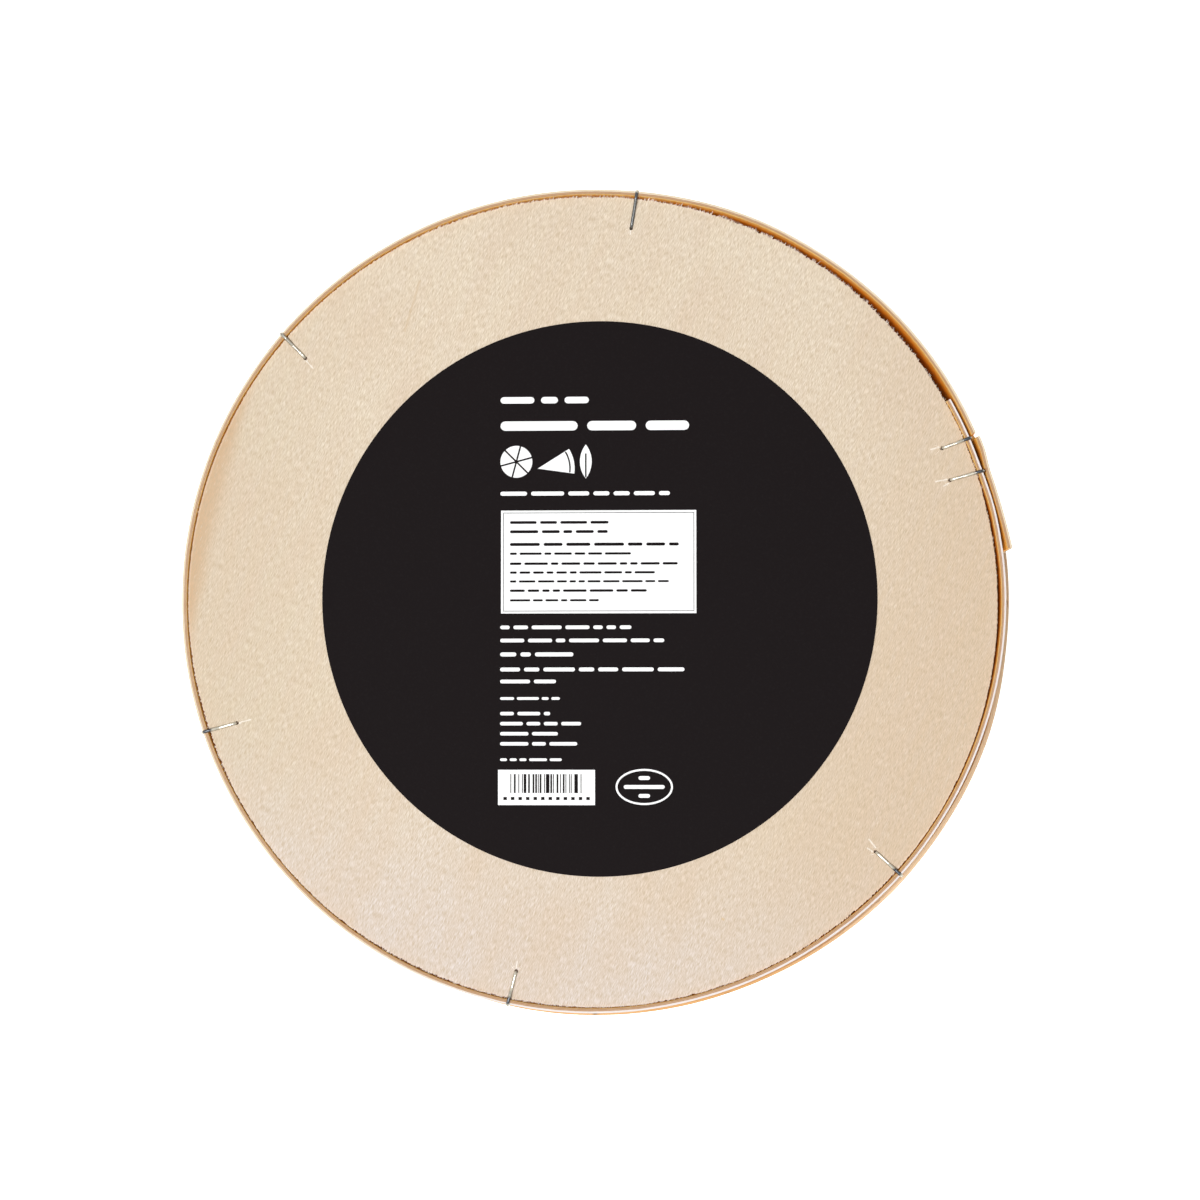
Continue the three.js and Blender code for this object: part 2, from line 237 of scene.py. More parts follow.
class CHEESEBOX_PG_label(bpy.types.PropertyGroup):
    """Colours of the label and the wire"""
    paper: tint("Paper", "Printed black of the label", 23, 18, 19)
    ink: tint("Ink", "White of the print", 244, 244, 244)
    metal: tint("Wire", "Bright zinc of the wire", 240, 234, 216)
    # Painted shade: a dark olive that stands for the shade along the wire's sides
    painted_edge_shade: tint("Painted edge shade", "Painted shade along the wire's sides", 96, 82, 54)
    dull: tint("Dull wire", "Dull zinc of the wire", 176, 170, 158)
    # Painted reflection: a dark blue grey that stands for the dark surroundings mirrored where the wire
    # bends over the rim
    dark_reflection: tint("Painted dark reflection", "Painted dark reflection where the wire bends over the rim", 34, 50, 70)
    dust: tint("Paper dust", "Grey specks in the printed black", 120, 116, 116)


class CHEESEBOX_PG_studio(bpy.types.PropertyGroup):
    """Camera, lights and floor"""
    distance: length("Camera distance", "From the board's middle to the camera", 780)
    tilt: angle("Camera tilt", "How far the camera stands off the box's axis", 4)
    tilt_side: angle("Tilt side", "The side to which the camera stands", -40)
    view_width: length("View width", "Width of what the picture shows at the board", 310.4)
    aim_x: length("Aim across", "Where the picture's middle falls on the board, across", 2.37)
    aim_y: length("Aim up", "Where the picture's middle falls on the board, upwards", -0.14)
    key_power: number("Key light", "Power of the overhead light, in watts", 25.6)
    key_lean: angle("Key lean", "How far the overhead light stands off the box's axis", 10)
    key_side: angle("Key side", "The side to which the overhead light stands", 225)
    fill: number("Fill light", "Strength of the light from all round", 0.2)
    ceiling: number("Ceiling", "Strength of the wide light overhead", 0.35)
    floor: tint("Floor", "Colour of the floor", 252, 252, 252)
    floor_speck: tint("Floor speck", "Broad duller patches of the floor", 240, 240, 240)
    floor_glow: number("Floor glow", "Light that the floor gives, as a light table does", 0.9)


SETTINGS = {
    "cheese_box_sizes": CHEESEBOX_PG_sizes,
    "cheese_box_wood": CHEESEBOX_PG_wood,
    "cheese_box_label": CHEESEBOX_PG_label,
    "cheese_box_studio": CHEESEBOX_PG_studio,
}


class Num:
    """A number in a node tree. Arithmetic on it adds Math nodes."""

    def __init__(self, graph, socket):
        self.graph = graph
        self.socket = socket

    def __add__(self, other):
        return self.graph.maths("ADD", self, other)

    def __sub__(self, other):
        return self.graph.maths("SUBTRACT", self, other)

    def __rsub__(self, other):
        return self.graph.maths("SUBTRACT", other, self)

    def __mul__(self, other):
        return self.graph.maths("MULTIPLY", self, other)

    def __truediv__(self, other):
        return self.graph.maths("DIVIDE", self, other)

    def __abs__(self):
        return self.graph.maths("ABSOLUTE", self)

    __radd__ = __add__
    __rmul__ = __mul__

    def smooth(self, low, high):
        """Zero below low, one above high and an eased rise between them"""
        ease = self.graph.add(
            "ShaderNodeMapRange", {"interpolation_type": "SMOOTHSTEP"},
            {"Value": self, "From Min": low, "From Max": high})
        return Num(self.graph, ease.outputs["Result"])

    def clamped(self, low=0, high=1):
        return self.graph.maths("MAXIMUM", self.graph.maths("MINIMUM", self, high), low)


class Graph:
    """Adds nodes to a tree, each with its settings first and then its sockets"""

    MIX_INPUTS = {"Factor": 0, "A": 6, "B": 7}
    MIX_RESULT = 2

    def __init__(self, tree):
        self.tree = tree
        tree.nodes.clear()

    def add(self, kind, settings=None, sockets=None):
        node = self.tree.nodes.new(kind)
        for name, value in (settings or {}).items():
            setattr(node, name, value)
        for name, value in (sockets or {}).items():
            self.plug(node.inputs[name], value)
        return node

    def plug(self, socket, value):
        value = value.socket if isinstance(value, Num) else value
        if isinstance(value, bpy.types.NodeSocket):
            self.tree.links.new(value, socket)
        else:
            socket.default_value = value

    def maths(self, operation, *values):
        node = self.add("ShaderNodeMath", {"operation": operation}, dict(enumerate(values)))
        return Num(self, node.outputs[0])

    def vectors(self, operation, *values, result=0):
        node = self.add("ShaderNodeVectorMath", {"operation": operation}, dict(enumerate(values)))
        return node.outputs[result]

    def split(self, vector):
        parts = self.add("ShaderNodeSeparateXYZ", None, {"Vector": vector})
        return [Num(self, part) for part in parts.outputs]

    def joined(self, x, y, z):
        return self.add("ShaderNodeCombineXYZ", None, {"X": x, "Y": y, "Z": z}).outputs[0]

    def mixed(self, factor, first, second, how="MIX"):
        """Two colours mixed by a factor"""
        values = {"Factor": factor, "A": first, "B": second}
        sockets = {self.MIX_INPUTS[name]: value for name, value in values.items()}
        node = self.add("ShaderNodeMix", {"data_type": "RGBA", "blend_type": how}, sockets)
        return node.outputs[self.MIX_RESULT]

    def noise(self, place, detail=2.0, roughness=0.5):
        """Noise from 0 to 1, in steps of the given coordinates"""
        sockets = {"Vector": place, "Scale": 1.0, "Detail": detail, "Roughness": roughness}
        return Num(self, self.add("ShaderNodeTexNoise", None, sockets).outputs["Fac"])


class Finish(Graph):
    """The node tree of one material"""

    def __init__(self, name):
        self.material = bpy.data.materials.new(name)
        self.material.use_nodes = True
        super().__init__(self.material.node_tree)
        self.place = self.add("ShaderNodeTexCoord").outputs["Object"]

    def turned(self, source, size, turn=0.0, centre=(0, 0, 0)):
        """Coordinates that count steps of this size along axes turned about Z round a centre"""
        settings = {"vector_type": "TEXTURE"}
        sockets = {"Vector": source, "Location": centre, "Rotation": (0, 0, turn), "Scale": size}
        return self.add("ShaderNodeMapping", settings, sockets).outputs[0]

    def cloud(self, source, size, turn=0.0, detail=2.0, roughness=0.5):
        """Noise whose blobs have this size along axes turned about Z"""
        return self.noise(self.turned(source, size, turn), detail, roughness)

    def level(self):
        """How level the surface is: 1 on a level face, 0 on a wall"""
        normal = self.add("ShaderNodeNewGeometry").outputs["True Normal"]
        return abs(self.split(normal)[2])

    def dents(self, height, distance, strength=1.0):
        sockets = {"Height": height, "Distance": distance, "Strength": strength}
        return self.add("ShaderNodeBump", None, sockets).outputs["Normal"]

    def surface(self, sockets):
        shader = self.add("ShaderNodeBsdfPrincipled", None, sockets)
        self.add("ShaderNodeOutputMaterial", None, {"Surface": shader.outputs[0]})
        return self.material


class Shaper(Graph):
    """A Geometry Nodes tree with named inputs"""

    def __init__(self, name, sizes):
        super().__init__(bpy.data.node_groups.new(name, "GeometryNodeTree"))
        sockets = self.tree.interface
        sockets.new_socket("Geometry", in_out="INPUT", socket_type="NodeSocketGeometry")
        for size, value in sizes.items():
            sockets.new_socket(size, in_out="INPUT", socket_type="NodeSocketFloat").default_value = value
        sockets.new_socket("Finish", in_out="INPUT", socket_type="NodeSocketMaterial")
        sockets.new_socket("Geometry", in_out="OUTPUT", socket_type="NodeSocketGeometry")
        outputs = self.add("NodeGroupInput").outputs
        self.base = outputs["Geometry"]
        self.finish = outputs["Finish"]
        self.size = {size: Num(self, outputs[size]) for size in sizes}

    def step(self, kind, shape, settings=None, sockets=None):
        """A node that takes a shape at its first socket and gives one"""
        return self.add("GeometryNode" + kind, settings, {0: shape, **(sockets or {})}).outputs[0]

    def stored(self, shape, name, value, data_type="FLOAT", domain="POINT"):
        settings = {"data_type": data_type, "domain": domain}
        return self.step("StoreNamedAttribute", shape, settings, {"Name": name, "Value": value})

    def read(self, name, data_type="FLOAT"):
        node = self.add("GeometryNodeInputNamedAttribute", {"data_type": data_type}, {"Name": name})
        return Num(self, node.outputs["Attribute"])

    def position(self):
        return self.add("GeometryNodeInputPosition").outputs[0]

    def cloud(self, size, detail=2.0):
        """Noise whose blobs have this size"""
        return self.noise(self.vectors("DIVIDE", self.position(), size), detail)

    def end(self, shape):
        real = self.step("RealizeInstances", shape)
        painted = self.step("SetMaterial", real, None, {"Material": self.finish})
        self.add("NodeGroupOutput", None, {"Geometry": painted})
        return self.tree


def polar(turn, radius, height=0.0):
    return Vector((radius * math.cos(math.radians(turn)), radius * math.sin(math.radians(turn)), height))


def eased(value):
    return value * value * (3 - 2 * value)


def radius_at(course, turn):
    """The inner face's distance from the axis, eased between the two stations around an angle"""
    after = next((i for i, station in enumerate(course) if station.angle <= turn), len(course) - 1)
    last = course[max(1, after)]
    first = course[max(1, after) - 1]
    part = eased((first.angle - turn) / (first.angle - last.angle))
    return first.radius + (last.radius - first.radius) * part


def face_under(course, staple):
    """The outer face's distance from the axis where a staple bends over it"""
    turns = [staple.angle - FULL_TURN, staple.angle]
    on_strip = [turn for turn in turns if course[0].angle >= turn >= course[-1].angle]
    return radius_at(course, on_strip[-1] if staple.lapped else on_strip[0]) + VENEER


def staple_frame(course, staple):
    """A staple's own axes: x outwards from the strip's face along the wire, z the box's own"""
    foot = polar(staple.angle, face_under(course, staple))
    return Matrix.Translation(foot) @ Matrix.Rotation(math.radians(staple.angle + staple.lean), 4, "Z")


def add_object(name, mesh):
    made = bpy.data.objects.new(name, mesh)
    bpy.context.scene.collection.objects.link(made)
    return made


def add_piece(name, mesh, nodes=()):
    """A finished mesh as a piece that rides on the box and stands for some of its nodes"""
    piece = add_object(name, mesh)
    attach(piece, BODY)
    if nodes:
        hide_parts(*nodes)
    return piece


def plain_mesh(holder, name):
    """What an object's modifiers make, as a mesh of its own. The object is removed."""
    depsgraph = bpy.context.evaluated_depsgraph_get()
    mesh = bpy.data.meshes.new_from_object(holder.evaluated_get(depsgraph), depsgraph=depsgraph)
    mesh.name = name
    holder.modifiers.clear()
    bpy.data.objects.remove(holder)
    return mesh


def grown(name, base, tree, values):
    """The plain mesh that a Geometry Nodes tree makes from a base mesh"""
    holder = add_object(name + "_base", base)
    modifier = holder.modifiers.new(tree.name, "NODES")
    modifier.node_group = tree
    for socket in tree.interface.items_tree:
        if socket.in_out == "INPUT" and socket.name in values:
            modifier[socket.identifier] = values[socket.name]
    return plain_mesh(holder, name)


def carved(mesh, cutters, name):
    """A mesh with closed cutters taken away from it"""
    holder = add_object(name + "_whole", mesh)
    tool = add_object(name + "_cutters", cutters)
    modifier = holder.modifiers.new("cut", "BOOLEAN")
    modifier.operation = "DIFFERENCE"
    modifier.solver = "EXACT"
    modifier.object = tool
    result = plain_mesh(holder, name)
    bpy.data.objects.remove(tool)
    return result


def line_mesh(name, lines):
    """Open lines of points as a mesh of edges"""
    points = [point for line in lines for point in line]
    edges = []
    first = 0
    for line in lines:
        edges += [(first + i, first + i + 1) for i in range(len(line) - 1)]
        first += len(line)
    mesh = bpy.data.meshes.new(name)
    mesh.from_pydata(points, edges, [])
    return mesh


def wood_hairs(finish, size, turn, low, high):
    """Sparse short strokes along the grain"""
    return finish.cloud(finish.place, size, turn, detail=1).smooth(low, high)


# Sides of the box to which a tone turns
DULL_SIDE = 185
WARM_SIDE = -20
COOL_SIDE = 258
STAIN_SIDE = 167
PALE_SIDE = 180
BRIGHT_SIDE = 20
TAN_SIDE = -95
SHADED_SIDE = -80

# Marks on the board: a faint dark grain line and three small flecks. Places and widths are millimetres.
Mark = namedtuple("Mark", "start end width strength red green blue")

BOARD_MARKS = [
    Mark((-44.7, 83.2), (-48.6, 70.2), 0.35, 0.5, 196, 172, 140),
    Mark((33.9, -82.2), (34.2, -82.4), 0.35, 0.5, 205, 172, 116),
    Mark((44.3, 77.6), (44.5, 78.2), 0.3, 0.4, 176, 152, 124),
    Mark((99.2, -34.8), (99.6, -35.4), 0.45, 0.6, 158, 148, 140),
]

# Pale scratches beyond the staples' holes: which staple, how far off its line, and how far they reach
SCRATCHES = [(0, 0.0, 1.8), (1, 0.3, 3.4), (2, 0.1, 4.0), (3, -0.2, 2.6), (4, 0.8, 3.6), (4, -0.5, 2.4),
             (5, 0.5, 3.0), (6, 0.4, 3.8), (6, -0.7, 2.2)]
SCRATCH_START = 0.9
SCRATCH_SPREAD = 1.5
SCRATCH_WIDTH = 0.2
SCRATCH_STRENGTH = 0.6
SCRATCH_COLOUR = (244, 238, 228)
STROKE_EDGE = (0.2, 1.4)


def scratches():
    """A pale stroke in line with each staple, on the side away from the rim"""
    marks = []
    for row, aside, reach in SCRATCHES:
        staple = TRAY_STAPLES[row]
        place = staple_frame(TRAY_COURSE, staple)
        start = place @ Vector((-staple.reach - SCRATCH_START * MM, aside * MM, 0)) / MM
        end = place @ Vector((-staple.reach - reach * MM, aside * SCRATCH_SPREAD * MM, 0)) / MM
        marks.append(Mark(tuple(start.xy), tuple(end.xy), SCRATCH_WIDTH, SCRATCH_STRENGTH, *SCRATCH_COLOUR))
    return marks


def marked(finish, colour, mark, unevenness):
    """A colour with one soft stroke painted over it"""
    start = Vector((*mark.start, 0)) * MM
    end = Vector((*mark.end, 0)) * MM
    way = (end - start).normalized()
    turn = math.atan2(way.y, way.x)
    reach = (end - start).length / 2
    width = mark.width * MM
    along, across, _ = finish.split(finish.turned(finish.place, (1, 1, 1), turn, (start + end) / 2))
    past_end = (abs(along) - reach).clamped(0, 1)
    away = finish.vectors("LENGTH", finish.joined(past_end, across, 0), result="Value")
    ragged = Num(finish, away) / width + unevenness
    cover = (1 - ragged.smooth(*STROKE_EDGE)) * mark.strength
    return finish.mixed(cover, colour, shade(mark.red, mark.green, mark.blue))


def towards(finish, turn, low, high):
    """Zero to one across the box, towards one side, between two shares of the board's radius"""
    east, north, _ = finish.split(finish.place)
    way = polar(turn, 1 / BOARD_RADIUS)
    return (east * way.x + north * way.y).smooth(low, high)


def from_axis(finish):
    """The distance from the box's axis"""
    east, north, _ = finish.split(finish.place)
    return Num(finish, finish.vectors("LENGTH", finish.joined(east, north, 0), result="Value"))


# Where the board's finish changes: distances from the axis, and depths under the face
STAIN_FROM = 94.5 * MM
STAIN_FULL = 105 * MM
WORN_FROM = 104.5 * MM
WORN_FULL = 104.9 * MM
RIM_DEPTH = 1.2 * MM
CORE_DEPTH = 1.6 * MM


def board_wood(look):
    """Bare poplar with fine straight grain, short hairs, a few marks and a darker cut rim that also carries
    painted shade of the gap
    """
    finish = Finish("board_wood")
    place = finish.place
    level = finish.level().smooth(0.35, 0.8)
    radius = from_axis(finish)
    figure = finish.cloud(place, (6 * MM, 60 * MM, 20 * MM), look.lean, detail=3)
    patches = finish.cloud(place, (26 * MM, 36 * MM, 20 * MM), look.lean, detail=3)
    flakes = finish.cloud(place, (2.2 * MM, 6 * MM, 2 * MM), look.lean, detail=2)
    fibres = finish.cloud(place, (0.5 * MM, 3 * MM, 0.5 * MM), look.lean, detail=2, roughness=0.6)
    grit = finish.cloud(place, (0.15 * MM, 1.7 * MM, 0.5 * MM), look.lean * 0.95, detail=1, roughness=0.7)
    mottle = finish.cloud(place, (1.2 * MM, 9 * MM, 2 * MM), look.lean, detail=2)
    hairs = wood_hairs(finish, (0.3 * MM, 1.6 * MM, 0.5 * MM), look.lean, 0.6, 0.74)
    light_hairs = wood_hairs(finish, (0.22 * MM, 2.4 * MM, 0.5 * MM), look.lean, 0.64, 0.78)
    tone = finish.mixed(towards(finish, DULL_SIDE, 0.35, 1.0), look.cream, look.dull)
    tone = finish.mixed(towards(finish, WARM_SIDE, 0.25, 0.95), tone, look.warm)
    tone = finish.mixed(towards(finish, COOL_SIDE, 0.4, 0.95), tone, look.cool)
    rosy = ((patches - 0.5) * 1.6 + (figure - 0.5) * 1.2 + 0.2).clamped()
    tone = finish.mixed(rosy, tone, look.pink)
    tone = finish.mixed(((mottle - 0.35) * 0.5).clamped(), tone, look.cool)
    stained = radius.smooth(STAIN_FROM, STAIN_FULL) * towards(finish, STAIN_SIDE, 0.925, 0.975)
    tone = finish.mixed(stained * (flakes + 0.5).clamped(), tone, look.stain)
    tone = finish.mixed(flakes.smooth(0.4, 0.7) * 0.16, tone, look.pink)
    tone = finish.mixed(fibres.smooth(0.35, 0.7) * 0.12, tone, look.hair)
    tone = finish.mixed(grit.smooth(0.3, 0.7) * 0.8, tone, look.hair)
    tone = finish.mixed(hairs * 0.12, tone, look.hair)
    tone = finish.mixed(light_hairs * 0.35, tone, look.shine)
    tone = finish.mixed(radius.smooth(WORN_FROM, WORN_FULL) * 0.15, tone, look.shine)
    under_board = 1 - finish.split(place)[2].smooth(TOP_FACE - CORE_DEPTH, TOP_FACE - RIM_DEPTH)
    unmarked = tone
    for mark in BOARD_MARKS + scratches():
        tone = marked(finish, tone, mark, (fibres - 0.5) * 1.6)
    tone = finish.mixed(under_board, tone, unmarked)
    # The board's cut rim: its own darker tone, tinted purple brown as painted shade of the gap beside the
    # strip
    rim = finish.mixed(fibres.smooth(0.3, 0.7) * 0.5, look.sawn_and_gap_shade, look.glue_line)
    rim = finish.mixed(under_board, rim, look.core)
    relief = finish.dents(fibres * 0.7 + hairs * 0.5, 0.05 * MM, 0.15)
    return finish.surface({
        "Base Color": finish.mixed(level, rim, tone),
        "Roughness": 0.72 + fibres * 0.12,
        "Specular IOR Level": 0.25,
        "Normal": relief,
    })


# Where the thin brown lines of a strip's cut edge lie, from 0 on its inner side to 1 on its outer side
EDGE_LINES = (0.24, 0.47)

# Distances along a strip from its start: a painted highlight lies on its outer side up to the first and not
# past the second, and its inner edge is bright up to the third and dull from the fourth
HIGHLIGHT_FULL = 220 * MM
HIGHLIGHT_END = 300 * MM
BRIGHT_END = 672 * MM
DULL_FROM = 694 * MM

# How far down a strip's inner face the painted shade of the gap deepens its tone
GAP_SHADE_DEPTH = 5 * MM


def hoop_wood(look):
    """Bent veneer: an inside painted amber for the light bounced and shaded in the gap, pale outside, and a
    cut edge that shows an inner and an outer ply
    """
    finish = Finish("hoop_wood")
    strip = finish.add("ShaderNodeUVMap", {"uv_map": "strip"}).outputs[0]
    run, across, _ = finish.split(strip)
    height = finish.split(finish.place)[2]
    level = finish.level().smooth(0.35, 0.75)
    grain_place = finish.joined(run, across * (3 * MM), height)
    grain = finish.cloud(grain_place, (26 * MM, 0.5 * MM, 0.45 * MM), detail=3, roughness=0.6)
    broad = finish.cloud(grain_place, (90 * MM, 3 * MM, 5 * MM), detail=2)
    fuzz = finish.cloud(grain_place, (0.9 * MM, 0.3 * MM, 0.4 * MM), detail=3, roughness=0.7)
    blots = finish.cloud(grain_place, (5 * MM, 2 * MM, 4 * MM), detail=2)
    knots = finish.cloud(grain_place, (1.6 * MM, 9 * MM, 1.8 * MM), detail=2)
    edge_place = across + (fuzz - 0.5) * 0.14 + (blots - 0.5) * 0.16
    edge = finish.mixed(edge_place.smooth(0.14, 0.4), look.inner_ply, look.middle_ply)
    edge = finish.mixed(towards(finish, PALE_SIDE, 0.6, 0.98) * 0.3, edge, look.outer_ply)
    # Painted highlight on the outer side of the cut edge, near the strip's start
    highlight = 1 - run.smooth(HIGHLIGHT_FULL, HIGHLIGHT_END)
    outer = finish.mixed(highlight, look.outer_ply, look.highlit)
    edge = finish.mixed(edge_place.smooth(0.5, 0.68), edge, outer)
    for middle in EDGE_LINES:
        line = 1 - abs(edge_place - middle).smooth(0.03, 0.12)
        edge = finish.mixed(line * 0.8, edge, look.glue_line)
    flecks = fuzz.smooth(0.55, 0.72) * (1 - edge_place.smooth(0.2, 0.5))
    edge = finish.mixed(flecks * 0.5, edge, look.glue_line)
    bright = towards(finish, BRIGHT_SIDE, 0.2, 0.9) * 0.7 + 0.1
    bright = bright * (1 - run.smooth(BRIGHT_END, DULL_FROM) * 0.7)
    edge = finish.mixed((1 - edge_place.smooth(0.06, 0.2)) * bright, edge, look.bright_ply)
    low = 1 - height.smooth(LID_RIM, LID_RIM + MM)
    # Painted light: the lower strip's cut edge is lightened at the right to make up for the shade of the
    # taller strip, and turns tan towards the bottom
    lightened_low_tone = finish.mixed(towards(finish, TAN_SIDE, 0.6, 0.95), look.lightened_low_ply, look.low_tan)
    edge = finish.mixed(low * 0.85, edge, lightened_low_tone)
    # Painted shade: a dark line along the inner side of the lower strip's cut edge, towards the lower
    # right, where the taller strip shades it; it uses the glue line's colour
    low_shade_line = low * towards(finish, SHADED_SIDE, 0.75, 0.95) * (1 - edge_place.smooth(0.3, 0.5))
    edge = finish.mixed(low_shade_line * 0.6, edge, look.glue_line)
    edge = finish.mixed(fuzz.smooth(0.5, 0.8) * 0.25, edge, look.outer_ply)
    outside = finish.mixed(grain.smooth(0.4, 0.72) * 0.35, look.outside, look.glue_line)
    outside = finish.mixed((broad - 0.3).clamped() * 0.5, outside, look.outer_ply)
    # Painted bounce light and shade: the inner face is amber and deepens down the gap beside the board
    depth = ((RIM - height) / GAP_SHADE_DEPTH).clamped()
    ticks = finish.cloud(grain_place, (0.4 * MM, 6 * MM, 2.4 * MM), detail=2).smooth(0.5, 0.68)
    inside = finish.mixed(depth, look.inside, look.deep)
    inside = finish.mixed(knots.smooth(0.4, 0.7) * 0.5, inside, look.amber)
    inside = finish.mixed(grain.smooth(0.5, 0.7) * 0.2, inside, look.amber)
    inside = finish.mixed(ticks * (1 - depth) * 0.6, inside, look.outer_ply)
    wall = finish.mixed(across.smooth(0.4, 0.6), inside, outside)
    relief = finish.dents(grain + fuzz * level * 0.8, 0.07 * MM, 0.6)
    return finish.surface({
        "Base Color": finish.mixed(level, wall, edge),
        "Roughness": 0.66 + grain * 0.14,
        "Specular IOR Level": 0.3,
        "Normal": relief,
    })


def fibre_wood(look):
    """Torn fibres, each of its own tone"""
    finish = Finish("fibre_wood")
    tone = Num(finish, finish.add("ShaderNodeAttribute", {"attribute_name": "tone"}).outputs["Fac"])
    streak = finish.cloud(finish.place, (0.2 * MM, 0.9 * MM, 0.3 * MM), look.lean)
    colour = finish.mixed(tone.smooth(0.0, 1.0), look.cream, look.shine)
    colour = finish.mixed(streak.smooth(0.5, 0.8) * 0.3, colour, look.middle_ply)
    return finish.surface({
        "Base Color": colour,
        "Roughness": 0.8 - streak * 0.1,
        "Specular IOR Level": 0.2,
    })


# Where a dark reflection is painted on the wire: between these distances from the axis, each with its soft
# edge
BEND_DARK_IN = (103.8 * MM, 104.6 * MM)
BEND_DARK_OUT = (106.1 * MM, 106.7 * MM)
# Painted reflection: one staple is darkened along its run on the board, up to this distance from the axis
DARK_REFLECTION_END = (104 * MM, 104.6 * MM)
DARK_REFLECTION_STAPLE = TRAY_STAPLES[0]
# Painted reflection: the outer end of this staple gets a paler reflection
PALE_REFLECTION_STAPLE = TRAY_STAPLES[1]
FACE_DEPTH = (1.0 * MM, 1.6 * MM)


def zinc_wire(look):
    """Bright drawn wire with dull patches, a painted dark reflection where it bends over the rim and
    painted shade along its sides
    """
    finish = Finish("zinc_wire")
    place = finish.place
    patches = finish.cloud(place, (1.6 * MM, 1.6 * MM, 1.6 * MM), detail=3)
    drawn = finish.cloud(place, (0.12 * MM, 0.12 * MM, 0.5 * MM), detail=2)
    reach = from_axis(finish) + (patches - 0.5) * (1.2 * MM)
    # Painted dark reflection where the wire bends over the rim, and along one staple's run on the board
    rim_reflection = reach.smooth(*BEND_DARK_IN) * (1 - reach.smooth(*BEND_DARK_OUT))
    staple_reflection = towards(finish, DARK_REFLECTION_STAPLE.angle, 0.8, 0.85) * (1 - reach.smooth(*DARK_REFLECTION_END))
    # Painted paler reflection at that staple's outer end: less of the dark reflection and more of the dull
    # zinc tone
    pale_reflection_end = towards(finish, PALE_REFLECTION_STAPLE.angle, 0.945, 0.975) * 0.6
    from_middle = abs(finish.split(place)[2] - RIM / 2)
    on_face = from_middle.smooth(RIM / 2 - FACE_DEPTH[1], RIM / 2 - FACE_DEPTH[0])
    # Painted shade along the wire's sides, where its surface turns away from above, on the runs near the
    # rim's height and near the floor
    sides = (1 - finish.level().smooth(0.35, 0.78)) * on_face
    colour = finish.mixed(patches.smooth(0.45, 0.7) * 0.7, look.metal, look.dull)
    colour = finish.mixed(rim_reflection * 0.9 * (1 - pale_reflection_end), colour, look.dark_reflection)
    colour = finish.mixed(staple_reflection * 0.8, colour, look.dark_reflection)
    colour = finish.mixed(pale_reflection_end, colour, look.dull)
    colour = finish.mixed(sides * 0.7, colour, look.painted_edge_shade)
    return finish.surface({
        "Base Color": colour,
        "Metallic": 0.55,
        "Roughness": 0.26 + patches * 0.14,
        "Normal": finish.dents(drawn, 0.02 * MM, 0.4),
    })


def label_paper(look):
    """Black printed paper with white print where the mesh says so"""
    finish = Finish("label_paper")
    printed = Num(finish, finish.add("ShaderNodeAttribute", {"attribute_name": "ink"}).outputs["Fac"])
    tooth = finish.cloud(finish.place, (0.5 * MM, 0.5 * MM, 0.5 * MM), detail=3)
    colour = finish.mixed(printed, look.paper, look.ink)
    colour = finish.mixed((tooth - 0.5).clamped() * 0.06, colour, look.dust)
    return finish.surface({
        "Base Color": colour,
        "Roughness": 0.62 + tooth * 0.1,
        "Specular IOR Level": 0.045,
        "Normal": finish.dents(tooth, 0.012 * MM, 0.3),
    })


def floor_paint(look):
    finish = Finish("floor_paint")
    speck = finish.cloud(finish.place, (40 * MM, 40 * MM, 40 * MM))
    return finish.surface({
        "Base Color": finish.mixed(speck * 0.02, look.floor, look.floor_speck),
        "Roughness": 0.9,
        "Specular IOR Level": 0.0,
        "Emission Color": (1, 1, 1, 1),
        "Emission Strength": look.floor_glow,
    })


# Boards
RIM_STEP = 0.1
GRAIN_END = 68
PRESS_MIDDLE = 12
PRESS_FALL = 8
HOLE_POINTS = 20
HOLE_ROUGHNESS = 0.16
HOLE_PITCH = 1400
SAME_PLACE = 1e-7

# The triangulation keeps the faces inside its outlines, and joins points this close, in millimetres
FACES_INSIDE = 1
CUT_TOLERANCE = 1e-6

# The torn rim: how often each kind of notch comes round the rim, and how much it counts
RAGGED_SEED = 4.7
UNEVEN_PITCH = 3.1
FINE_PITCH = 170
COARSE_PITCH = 62
TOOTH_DRIFT = 20
TOOTH_SWEEP = 0.62
FINE_WEIGHT = 0.4
COARSE_WEIGHT = 0.6
TOOTH_WEIGHT = 0.85


def across_grain(turn):
    """One where the board's rim crosses the grain, zero where it runs along it"""
    return abs(math.cos(math.radians(turn - GRAIN_END)))


def ragged_radius(radius, turn, sizes):
    """A board's rim, torn where the saw crossed the grain and nearly smooth along it"""
    spot = polar(turn, 1, RAGGED_SEED)
    uneven = 0.5 + 0.5 * noise.noise(spot * UNEVEN_PITCH)
    fine = abs(noise.noise(spot * FINE_PITCH))
    coarse = abs(noise.noise(spot * COARSE_PITCH))
    tooth = (turn / TOOTH_SWEEP + 2 * noise.noise(spot * TOOTH_DRIFT)) % 1
    depth = sizes.rim_ragged * (0.25 + 0.75 * across_grain(turn)) * (0.35 + 0.9 * uneven)
    torn = depth * (FINE_WEIGHT * fine + COARSE_WEIGHT * coarse + TOOTH_WEIGHT * tooth * uneven)
    pressed = sizes.rim_press * max(0, math.cos(math.radians(turn - PRESS_MIDDLE))) ** PRESS_FALL
    return radius + sizes.rim_swell - pressed - torn


def rim_angles():
    count = round(FULL_TURN / RIM_STEP)
    return [FULL_TURN * i / count for i in range(count)]


